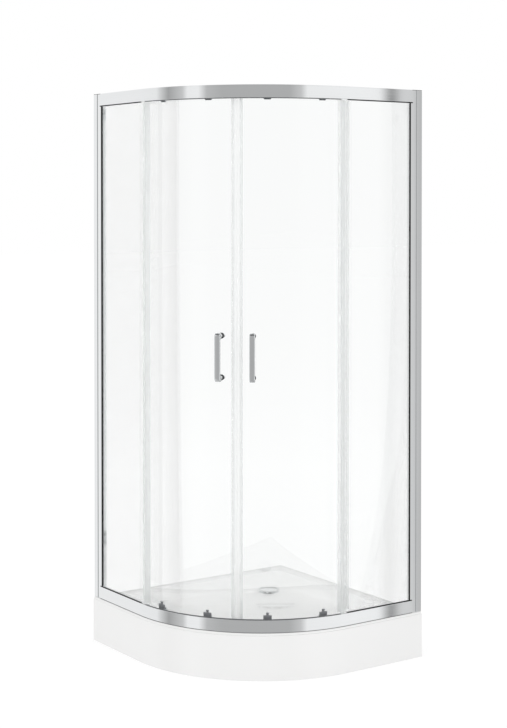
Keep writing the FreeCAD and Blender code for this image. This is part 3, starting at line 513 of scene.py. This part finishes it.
def basin_height(plan, t):
    """Height of the basin at plan points that lie a share t down its soft edge: the greater of the
    edge's height and of a floor that rises slowly away from the drain, blended where they meet."""
    away = np.linalg.norm(plan - drain, axis=1)
    floor = floor_low + floor_fall * np.maximum(away - drain_seat, 0) / (2 * half)
    edge = tray_top - basin_depth * soft_edge(t)
    return (floor + edge + np.sqrt((floor - edge) ** 2 + floor_blend ** 2)) / 2


def tray_shell():
    """Rings of the tray's outline, each drawn in further than the last: up the skirt, round the rim,
    down the basin's soft edge, in straight rays across the floor to the drain, and back underneath
    at the wall's thickness."""
    under_rim = tray_top - rim_thickness
    grid = []

    def ring(inset, z, corner=rim_corner):
        """Level outline at an inset."""
        plan = tray_outline(inset, corner)
        grid.append(np.column_stack([plan, np.full(len(plan), z)]))

    def edge_ring(t, drop):
        """Outline a share t down the basin's edge, lowered by drop for the underside."""
        plan = tray_outline(rim_width - drop + t * basin_edge_width, basin_corner)
        ceiling = under_rim if drop else tray_top
        grid.append(np.column_stack([plan, np.minimum(basin_height(plan, t) - drop, ceiling)]))

    foot = tray_outline(rim_width + basin_edge_width, basin_corner)
    ray = unit(foot - drain)

    def floor_ring(share, drop):
        """Outline a share of the way from the edge's foot to the drain's seat, lowered by drop."""
        plan = foot * (1 - share) + (drain + ray * drain_seat) * share
        grid.append(np.column_stack([plan, basin_height(plan, 1) - drop]))

    skirt = ((skirt_inset, skirt_low), (skirt_inset, under_rim - 0.3), (skirt_inset - 0.3, under_rim))
    rim_edge = ((0.6, under_rim), (0.1, under_rim + 0.2), (0, under_rim + 0.8), (0, tray_top - 2.6),
                (0.25, tray_top - 1.5), (0.9, tray_top - 0.6), (1.8, tray_top - 0.12), (2.6, tray_top))
    for inset, z in skirt + rim_edge:
        ring(inset, z)
    ring(rim_width * 0.5, tray_top, 2.5 * rim_corner)
    ring(rim_width - 1, tray_top, basin_corner)
    for t in np.linspace(0.01, 1, 26):
        edge_ring(t, 0)
    for share in np.linspace(0.1, 1, 10):
        floor_ring(share, 0)
    for low in (floor_low, floor_low - shell_wall):
        plan = drain + ray * drain_hole
        grid.append(np.column_stack([plan, np.full(len(plan), low)]))
    for share in np.linspace(1, 0.1, 10):
        floor_ring(share, shell_wall)
    for t in np.linspace(1, 0.12, 10):
        edge_ring(t, shell_wall)
    ring(rim_width - shell_wall, under_rim)
    ring(skirt_inset + skirt_wall, under_rim)
    ring(skirt_inset + skirt_wall, skirt_low)
    mesh_piece("tray_basin_and_rim", [skin(np.stack(grid), ring=True)], acrylic, "enclosure",
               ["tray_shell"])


def tray_apron():
    """Apron section with its foot flange, carried round the front from wall to wall."""
    thick, foot, foot_thick = 4.0, 22.0, 3.0
    out = -face_inset
    section = rounded([(out, 0, 0.8), (out + foot, 0, 0.6), (out + foot, foot_thick, 0.6),
                       (out + thick, foot_thick, 1.5), (out + thick, apron_top, 0.6), (out, apron_top, 1.2)])
    mesh_piece("tray_front_apron", [skin(carried(section, quadrant_path(0)))], acrylic, "enclosure",
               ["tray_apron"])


def waste():
    """Chrome drain, turned about its axis: the flange with its neck, and the cover, a dome whose height
    falls with the square of the radius. The cover stands on four feet, and two crossed blades under
    it keep it in the neck."""
    bore, neck, flange, neck_length = 28.0, 29.7, 42.0, 16.0
    low = floor_low - neck_length
    ring = rounded([(bore, low, 0), (neck, low, 0), (neck, floor_low, 0), (flange, floor_low, 0.3),
                    (flange, flange_top, 1.2), (bore, flange_top, 1.0)])
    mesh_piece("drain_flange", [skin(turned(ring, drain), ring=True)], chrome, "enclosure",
               ["waste_flange"])
    water_gap, edge_height = 7.0, 2.4
    cover, dome_radius = 43.0, 39.0
    under = flange_top + water_gap
    edge = under + edge_height
    t = np.linspace(1, 0, 12)[:, None]
    dome = np.concatenate([dome_radius * t, edge + (cover_top - edge) * (1 - t * t)], axis=1)
    rim = rounded([(36, under, 0), (cover, under, 0.7), (cover, edge, 1.1),
                   (dome_radius + 0.5, edge + 0.1, 0)])
    disc = np.concatenate([[(0, under)], rim, dome])
    skins = [skin(turned(disc, drain), ring=True, wrap=False)]
    foot_circle, foot, chamfer, sunk = 35.85, 3.0, 0.6, 0.5
    leg = np.array([(0, flange_top), (foot - chamfer, flange_top), (foot, flange_top + chamfer),
                    (foot, under + sunk), (0, under + sunk)])
    for turn in np.radians([45, 135, 225, 315]):
        at = drain + foot_circle * np.array((math.cos(turn), math.sin(turn)))
        skins.append(skin(turned(leg, at, 20), ring=True, wrap=False))
    reach, thin = 27.4, 0.8        # half the blade's length and half its thickness
    outline = soft([(-reach, -thin), (reach, -thin), (reach, thin), (-reach, thin)], 0.5)
    for way in np.eye(2):
        plan = drain + outline[:, :1] * way + outline[:, 1:] * way[::-1]
        blade = np.stack([np.column_stack([plan, np.full(len(plan), z)]) for z in (low + 2, under + sunk)])
        skins.append(skin(blade))
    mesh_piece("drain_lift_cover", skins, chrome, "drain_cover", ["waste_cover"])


# ---- Rails ----
# Places in the rail's section: s inwards from its face, z upwards from its foot.
rail_depth, rail_height = 49.0, 46.0
rail_floor = 2.0
foot_rebate = 1.6
pocket_face, pocket_back = 3.0, 12.0
web_back, web_top = 13.4, 43.0


def rail_section():
    """Outline of the rail above z = 0: a shallow rebate under its face, a low gutter at the back, the
    wheel channel with its track and lip, and the glass pocket in front, whose face ends in a bead."""
    gutter, gutter_top = 47.6, 6.0
    track, roof = 38.0, 40.0
    lip, lip_back, lip_low = 29.2, 30.4, 35.0
    face_wall = 1.8
    foot = [(0, foot_rebate, 0.3), (pocket_face, foot_rebate, 0), (pocket_face, 0, 0)]
    back = [(rail_depth, 0, 0.5), (rail_depth, gutter_top, 0.4), (gutter, gutter_top, 0.4),
            (gutter, rail_floor, 0.5)]
    channel = [(web_back, rail_floor, 0.5), (web_back, track, 0.4), (lip, track, 0.4), (lip, lip_low, 0.3),
               (lip_back, lip_low, 0.3), (lip_back, roof, 0.6), (web_back, roof, 0.4)]
    pocket = [(web_back, web_top, 0.4), (pocket_back, web_top, 0.3), (pocket_back, rail_floor, 0.3),
              (4.6, 2.4, 0.2), (face_wall, 3.4, 0.2), (face_wall, 41.8, 0)]
    bead = [(pocket_face, web_top, 0), (pocket_face, rail_height, 0.4), (0, rail_height, 1.2)]
    return rounded(foot + back + channel + pocket + bead)


def pocket_cover_section():
    """Strip that closes the rail's empty pocket: a web down into it and a lip up the front."""
    low, high, lip_back = 32.0, 49.0, 5.0
    return rounded([(pocket_face, low, 0.3), (pocket_back, low, 0.3), (pocket_back, web_top, 0.4),
                    (lip_back, web_top + 1, 0.6), (lip_back, high, 0.6), (pocket_face, high, 0.9)])


def from_low(section):
    """The section as it stands in the bottom rail."""
    return section + (0, rail_low)


def from_high(section):
    """The section hanging upside down in the top rail."""
    return section * (1, -1) + (0, enclosure_top)


def rails():
    """One section carried round both rails, a thin black strip of painted shadow that fills the rebate
    under the bottom rail, and the cover strips between the panes."""
    path = quadrant_path(wall_gap)
    for name, stand in (("bottom", from_low), ("top", from_high)):
        mesh_piece(name + "_curved_rail", [skin(carried(stand(rail_section()), path))], rail_metal,
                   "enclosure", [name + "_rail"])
    # Painted shadow: a black rubber strip fills the rebate under the bottom rail, so that the line where the
    # rail meets the tray reads dark.
    shadow_strip_face, shadow_strip_back = 0.6, 2.8
    foot = rounded([(shadow_strip_face, 0, 0), (shadow_strip_back, 0, 0), (shadow_strip_back, foot_rebate, 0),
                    (shadow_strip_face, foot_rebate, 0)])
    mesh_piece("bottom_rail_painted_shadow_strip", [skin(carried(from_low(foot), path))], rubber,
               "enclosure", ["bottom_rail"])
    strip_start = 28.0             # along the face, from the start of the curve
    start = math.degrees(strip_start / rail_radius)
    strips = [skin(carried(stand(pocket_cover_section()), curve_path(start, 90 - start)))
              for stand in (from_low, from_high)]
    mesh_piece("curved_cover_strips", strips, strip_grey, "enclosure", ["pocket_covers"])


# ---- Glass ----
def bevelled_sheet(s0, s1, z0, z1):
    """Section of a pane standing on edge, with its arrises ground to a small radius."""
    return rounded([(s, z, glass_arris) for s, z in ((s0, z0), (s1, z0), (s1, z1), (s0, z1))], steps=3)


def panes():
    """Flat fixed panes, and bent door panes carried along the curve."""
    flat = bevelled_sheet(pane_s0, pane_s1, pane_low, pane_high)
    origins = np.array([(-rail_face, pane_wall_end), (-rail_face, pane_free_end)])
    straight = skin(carried(flat, (origins, np.array([(1.0, 0.0)] * 2))))
    bent = bevelled_sheet(rail_radius - door_outer, rail_radius - door_inner, door_low, door_high)
    path = curve_path(-along_glass(door_back_edge), meeting_line - along_glass(door_front_edge))
    curved = skin(carried(bent, path))
    for side, mirror in (("left", as_drawn), ("right", twin)):
        sheets = (
            mesh_piece(side + "_flat_glass", [(mirror(straight[0]), straight[1])], glass, "enclosure",
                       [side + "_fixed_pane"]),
            mesh_piece(side + "_bent_glass", [(mirror(curved[0]), curved[1])], glass, side + "_door",
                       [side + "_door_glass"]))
        for sheet in sheets:
            sheet.visible_shadow = False


# ---- Handles ----
handle_from_meeting = 58.0     # along the glass
handle_height = 980.0          # from the bottom rail's foot to the handle's middle
handle_reach = 52.0            # from the glass to the bar's outer face
handle_length = 175.0
handle_width = 20.0
post_spacing = 150.0
post_radius, bolt_radius = 8.0, 3.15
handle_theta = meeting_line - along_glass(handle_from_meeting)
handle_z = rail_low + handle_height
handle_posts = (handle_z - post_spacing / 2, handle_z + post_spacing / 2)
handle_ring_out = door_outer + 2.7


def handle_bar():
    """D bar: its outer and inner outlines run side by side from foot to foot, and a rounded
    rectangle 20 mm wide is carried along between them."""
    outer_x, inner_x, foot_x = door_outer + handle_reach, door_outer + 39.0, door_outer + 28.0
    end, step = handle_length / 2, 64.5
    bend, inner_bend = 15.0, 8.0
    quarter = np.radians(np.linspace(90, 0, 11))
    outer = np.concatenate([
        [(foot_x, end), (outer_x - bend - 1, end)],
        np.column_stack([outer_x - bend + bend * np.cos(quarter), end - bend + bend * np.sin(quarter)]),
    ])
    inner = np.concatenate([
        [(foot_x, step), (inner_x - inner_bend - 0.5, step)],
        np.column_stack([inner_x - inner_bend + inner_bend * np.cos(quarter),
                         step - inner_bend + inner_bend * np.sin(quarter)]),
    ])
    outer = np.concatenate([outer, outer[::-1] * (1, -1)])
    inner = np.concatenate([inner, inner[::-1] * (1, -1)])
    middle, across = (outer + inner) / 2, unit(outer - inner)
    thick = np.linalg.norm(outer - inner, axis=1) / 2
    ease = 1.6
    ends = np.array([(ease, 0), (ease * 0.3, ease * 0.3), (0, ease)])
    corner = 4.0
    t = np.radians(np.linspace(0, 90, 6))
    quarter_x, quarter_y = corner * np.cos(t), corner * np.sin(t)

    def ring(k, shrink, push):
        """Rounded rectangle across the bar at station k: its half sides less the corner radius, plus a
        quarter circle in each corner. The feet are drawn in by shrink and moved out by push."""
        a, b = thick[k] - shrink, handle_width / 2 - shrink
        px = np.concatenate([a - corner + quarter_x, -(a - corner) - quarter_x[::-1],
                             -(a - corner) - quarter_x, a - corner + quarter_x[::-1]])
        py = np.concatenate([b - corner + quarter_y, b - corner + quarter_y[::-1],
                             -(b - corner) - quarter_y, -(b - corner) - quarter_y[::-1]])
        plane = middle[k] + px[:, None] * across[k] + (push, 0)
        return np.column_stack([plane[:, 0], py, handle_z + plane[:, 1]])

    rings = [ring(0, shrink, push) for shrink, push in ends]
    rings += [ring(k, 0, 0) for k in range(1, len(middle) - 1)]
    rings += [ring(-1, shrink, push) for shrink, push in ends[::-1]]
    return skin(np.stack(rings))


def handles():
    """Chrome bars on round posts, dark rings at the glass, and knob-shaped caps inside the doors."""
    gasket, tip = 0.2, door_outer + 31
    post = soft([(handle_ring_out, bolt_radius), (handle_ring_out, post_radius), (tip, post_radius),
                 (tip, bolt_radius)], 0.4)
    ring_in, ring_radius = door_outer + gasket, 11.0
    ring = soft([(ring_in, bolt_radius), (ring_in, ring_radius), (handle_ring_out, ring_radius),
                 (handle_ring_out, bolt_radius)], 0.8)
    face, bolt, bolt_tip = door_inner - gasket, 3.0, handle_ring_out + 20
    knob_height, crown_height, crown_radius, knob_radius = 11, 1.4, 8.0, 10.0
    t = np.radians(np.linspace(0, 90, 8))
    crown = np.column_stack([face - knob_height + crown_height * (1 - np.cos(t)), crown_radius * np.sin(t)])
    shoulder = rounded([(face - 9.6, crown_radius, 0), (face - 8.6, knob_radius, 0.8),
                        (face, knob_radius, 0.6), (face, bolt, 0)])
    cap = np.concatenate([crown, shoulder, [(bolt_tip, bolt), (bolt_tip, 0)]])
    for side, mirror in (("left", as_drawn), ("right", twin)):
        def put(part):
            """A handle part's mesh at its place on the left door, or on the right one."""
            return mirror(placed(part[0], handle_theta)), part[1]

        posts = [skin(turned_level(post, z), ring=True) for z in handle_posts]
        mesh_piece(side + "_door_handle", [put(handle_bar())] + [put(p) for p in posts], chrome,
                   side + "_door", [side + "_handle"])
        rings = [put(skin(turned_level(ring, z), ring=True)) for z in handle_posts]
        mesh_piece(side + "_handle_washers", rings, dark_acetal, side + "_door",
                   [side + "_handle_rings"])
        caps = [put(skin(turned_level(cap, z), ring=True, wrap=False)) for z in handle_posts]
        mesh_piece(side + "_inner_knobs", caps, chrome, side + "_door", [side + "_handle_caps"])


# ---- Rollers ----
def coil_springs():
    """Release springs: a wire of 0.7 mm wound six turns round each guide hole. A point is the
    helix's point plus the wire's radius times a turning normal."""
    low, high = rail_low + 8.2, rail_low + 18.3
    radius, wire_radius, turns = 1.5, 0.35, 6
    t = np.linspace(0, 1, 150)
    angle = 2 * np.pi * turns * t
    height = low + wire_radius + (high - low - 2 * wire_radius) * t
    line = np.stack([radius * np.cos(angle), radius * np.sin(angle), height], axis=1)
    out = np.stack([np.cos(angle), np.sin(angle), np.zeros_like(t)], axis=1)
    turn = np.radians(np.arange(0, 360, 45))
    up = np.array((0.0, 0.0, 1.0))
    round_wire = np.cos(turn)[None, :, None] * out[:, None] + np.sin(turn)[None, :, None] * up
    tube = line[:, None] + wire_radius * round_wire
    guide_hole = 38.75             # behind the rails' face
    middle = rail_radius - guide_hole
    for side, mirror in (("left", as_drawn), ("right", twin)):
        for which, theta in (("rear", rear_roller), ("front", front_roller)):
            points, faces = skin(tube + (middle, 0, 0))
            spot = mirror(placed(np.array((middle, 0.0, low)), theta)) * MM
            node = [side + "_release_springs"]
            spring = mesh_piece(f"{side}_{which}_spring", [(mirror(placed(points, theta)), faces)], zinc,
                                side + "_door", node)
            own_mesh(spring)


def machined_pieces():
    """Pieces whose CAD shape is already right: the same shape, with its edges broken by a bevel whose
    width ends each row."""
    for side in ("left", "right"):
        for part, finish, slot, width in (
                ("wall_profile", post_metal, "bright_aluminium", 0.5),
                ("side_profile", post_metal, "bright_aluminium", 0.4),
                ("post_gasket", rubber, "black_rubber", 0.4),
                ("edge_profile", vinyl, "clear_profile", 0.4),
                ("magnet_seal", vinyl, "clear_profile", 0.4),
                ("rear_seal", vinyl, "clear_profile", 0.4),
                ("roller_carriers", grey_acetal, "dark_plastic", 0.35),
                ("clamp_plates", chrome, "chrome", 0.5),
                ("door_bolts", zinc, "zinc_steel", 0.3),
                *((end + "_slider", grey_acetal, "dark_plastic", 0.35) for end in ("rear", "front")),
                *((f"{end}_{level}_wheel", white_acetal, "white_nylon", 0.25)
                  for end in ("rear", "front") for level in ("top", "bottom"))):
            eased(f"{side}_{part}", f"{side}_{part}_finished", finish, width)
    for part, finish, slot, width in (
            ("profile_caps", dark_acetal, "dark_plastic", 0.4),
            ("rail_brackets", grey_acetal, "dark_plastic", 0.4),
            ("door_stops", rubber, "black_rubber", 0.6),
            ("rail_gaskets", rubber, "black_rubber", 0.3),
            ("setting_blocks", rubber, "black_rubber", 0.4),
            ("lock_screws", zinc, "zinc_steel", 0.2),
            ("leg_sockets", dark_acetal, "dark_plastic", 0.6),
            ("tray_legs", zinc, "zinc_steel", 0.5),
            ("waste_seal", rubber, "black_rubber", 0.4),
            ("waste_body", waste_plastic, "white_pipe", 0.5)):
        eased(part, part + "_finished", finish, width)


# ---- Studio ----
# Greys of the reflector ring, as (bearing, grey) in degrees about the upright axis; the tone fades
# evenly from each to the next. Set one by one, they give the polished rails their light and dark bands.
ring_greys = (
    (100.0, "#F6F6F6"), (146.0, "#F0F0F0"), (150.0, "#D8D8D8"), (158.5, "#A8A8A8"), (172.0, "#CCCCCC"),
    (176.5, "#F4F4F4"), (186.0, "#F6F6F6"), (193.0, "#C0C0C0"), (205.0, "#B4B4B4"), (257.0, "#B4B4B4"),
    (266.0, "#CCCCCC"), (271.0, "#F4F4F4"), (308.4, "#F8F8F8"), (309.3, "#888888"), (310.1, "#D8D8D8"),
    (311.1, "#D8D8D8"), (311.4, "#C0C0C0"), (333.0, "#C0C0C0"), (335.0, "#8A8A8A"), (450.0, "#8A8A8A"),
    (460.0, "#F6F6F6"),
)
ring_distance = 4500.0
ring_step = 0.2                # degrees between its points
dark_from = 333.0              # the bearing where the dark part behind the object starts
dark_top = 950.0               # its height, and the height above which the ring is pale there
pale_from = 1250.0
ring_low, ring_high = -4000.0, 6500.0
hub, roof_edge = 0.01, 0.7     # shares of the distance: the ends' middle hole, and the roof's full grey
under_grey, roof_grey = "#A8A8A8", "#6A6A6A"


def reflector_ring():
    """Tall ring round the object, seen only in its reflections. Each point carries its own grey,
    interpolated between the listed bearings, and the ring glows with it. The dark part behind the
    object stays low, so that level metal reflects white, and a grey roof and a grey underside close
    the ring, so that bends turned up or down stand out."""
    bearing = np.arange(ring_greys[0][0], ring_greys[-1][0], ring_step)
    grey = np.interp(bearing, [place for place, tone in ring_greys],
                     [linear(tone)[0] for place, tone in ring_greys])
    upper = np.where(bearing > dark_from, linear(ring_greys[0][1])[0], grey)
    turn = np.radians(bearing)
    plan = ring_distance * np.stack([np.cos(turn), np.sin(turn)], axis=1)
    under, roof = (np.full(len(turn), linear(tone)[0]) for tone in (under_grey, roof_grey))
    rows = ((hub, ring_low, under), (1.0, ring_low, grey), (1.0, dark_top, grey), (1.0, pale_from, upper),
            (1.0, ring_high, upper), (roof_edge, ring_high, roof), (hub, ring_high, roof))
    points, faces = skin(np.stack([np.column_stack([plan * share, np.full(len(turn), z)])
                                   for share, z, tone in rows]), caps=False)
    mesh = bpy.data.meshes.new("reflector_ring")
    mesh.from_pydata((points * MM).tolist(), [], faces)
    mesh.attributes.new("ring_grey", "FLOAT", "POINT").data.foreach_set(
        "value", np.concatenate([tone for share, z, tone in rows]))
    finish, tree = blank("reflector_ring_glow")
    tone = add(tree, "ShaderNodeAttribute", {}, attribute_name="ring_grey")
    light = add(tree, "ShaderNodeEmission", {"Strength": tone.outputs["Fac"]})
    add(tree, "ShaderNodeOutputMaterial", {"Surface": light.outputs["Emission"]})
    mesh.materials.append(finish)
    ring = bpy.data.objects.new("reflector_ring", mesh)
    bpy.context.scene.collection.objects.link(ring)
    ring.visible_camera = False
    ring.visible_diffuse = False
    ring.visible_transmission = False
    ring.visible_shadow = False


floor_size = 40000.0           # half its side
lit_reach, far_reach = 1.2, 4.0    # metres from the middle, between which the floor's own light grows
floor_lift, far_floor_lift = 0.665, 0.735


def pale_floor():
    """Matt white floor. A little of its own light, more of it further out where the lamps don't
    reach, lifts it to the background's white, and the object's shadow stays in it."""
    finish, tree = blank("matt_studio_floor")
    tone = shade(tree, grain(tree, 3.0), "#A4A4A4", "#A7A7A7")
    matt = add(tree, "ShaderNodeBsdfDiffuse", {"Color": tone})
    place = add(tree, "ShaderNodeTexCoord", {})
    away = add(tree, "ShaderNodeVectorMath", {0: place.outputs["Object"]}, operation="LENGTH")
    ends = {"From Min": lit_reach, "From Max": far_reach, "To Min": floor_lift, "To Max": far_floor_lift}
    fade = add(tree, "ShaderNodeMapRange", {"Value": away.outputs["Value"], **ends})
    lift = add(tree, "ShaderNodeEmission", {"Strength": fade.outputs["Result"]})
    both = add(tree, "ShaderNodeAddShader", {0: matt.outputs[0], 1: lift.outputs[0]})
    add(tree, "ShaderNodeOutputMaterial", {"Surface": both.outputs[0]})
    mesh = bpy.data.meshes.new("studio_floor")
    corners = floor_size * np.array([(-1, -1, 0), (1, -1, 0), (1, 1, 0), (-1, 1, 0)])
    mesh.from_pydata((corners * MM).tolist(), [], [(0, 1, 2, 3)])
    mesh.materials.append(finish)
    floor = bpy.data.objects.new("studio_floor", mesh)
    bpy.context.scene.collection.objects.link(floor)
    floor.visible_glossy = False


room_light = 0.72              # the world's strength as light, against 1 where it is seen


def white_room():
    """World: pure white where it is seen directly, in gloss or through glass, and softer as light."""
    world = bpy.data.worlds.new("white_room")
    world.use_nodes = True
    tree = world.node_tree
    tree.nodes.clear()
    path = add(tree, "ShaderNodeLightPath", {})
    seen = greater(tree, path.outputs["Is Camera Ray"], path.outputs["Is Glossy Ray"])
    seen = greater(tree, seen, path.outputs["Is Transmission Ray"])
    strength = add(tree, "ShaderNodeMapRange", {"Value": seen, "To Min": room_light, "To Max": 1.0})
    sky = add(tree, "ShaderNodeBackground", {"Strength": strength.outputs["Result"]})
    sky.inputs["Color"].default_value = (1, 1, 1, 1)
    add(tree, "ShaderNodeOutputWorld", {"Surface": sky.outputs[0]})
    bpy.context.scene.world = world


# Softboxes: name, place and target in metres, side in metres, power in watts.
softboxes = (
    ("left_softbox", (-4.2, -1.6, 3.6), (0, 0, 0.9), 2.2, 35),
    ("front_softbox", (0.8, -4.6, 3.2), (0, 0, 0.8), 2.2, 23),
    ("top_softbox", (0, 0, 4.4), (0, 0, 0), 2.5, 38),
)


def softbox(name, place, target, size, power):
    """Square area lamp at a place, looking at a target; it isn't seen in gloss or through glass."""
    lamp = bpy.data.lights.new(name, "AREA")
    lamp.size = size
    lamp.energy = power
    thing = bpy.data.objects.new(name, lamp)
    thing.location = place
    thing.rotation_euler = (Vector(target) - Vector(place)).to_track_quat("-Z", "Y").to_euler()
    thing.visible_glossy = False
    thing.visible_transmission = False
    bpy.context.scene.collection.objects.link(thing)


def studio():
    """Everything that stands round the object: reflector ring, floor, world and lamps."""
    reflector_ring()
    pale_floor()
    white_room()
    for lamp in softboxes:
        softbox(*lamp)


# ---- Camera ----
# The photograph is 507 x 728 pixels. An almost level camera 1.7 m up took it, its frame shifted down.
photo_height = 728
focal_pixels = 1542.4
horizon_row = 201.4
camera_place = Vector((-3.358, -4.808, 1.706))     # metres
camera_turn = 34.89                                # degrees
camera_pitch = 1.0


def camera():
    """Camera at the photograph's angle; its pitch and shift together keep the horizon on its row."""
    lens = bpy.data.cameras.new("photo_camera")
    lens.sensor_fit = "AUTO"
    lens.sensor_width = 36.0
    lens.lens = focal_pixels * lens.sensor_width / photo_height
    pitch_rows = focal_pixels * math.tan(math.radians(camera_pitch))
    lens.shift_y = -(photo_height / 2 - horizon_row - pitch_rows) / photo_height
    thing = bpy.data.objects.new("photo_camera", lens)
    thing.location = camera_place
    thing.rotation_euler = (math.radians(90 - camera_pitch), 0, math.radians(-camera_turn))
    bpy.context.scene.collection.objects.link(thing)
    bpy.context.scene.camera = thing


tray_shell()
tray_apron()
waste()
rails()
panes()
handles()
coil_springs()
machined_pieces()
studio()
camera()
bpy.context.scene.view_settings.view_transform = "Standard"
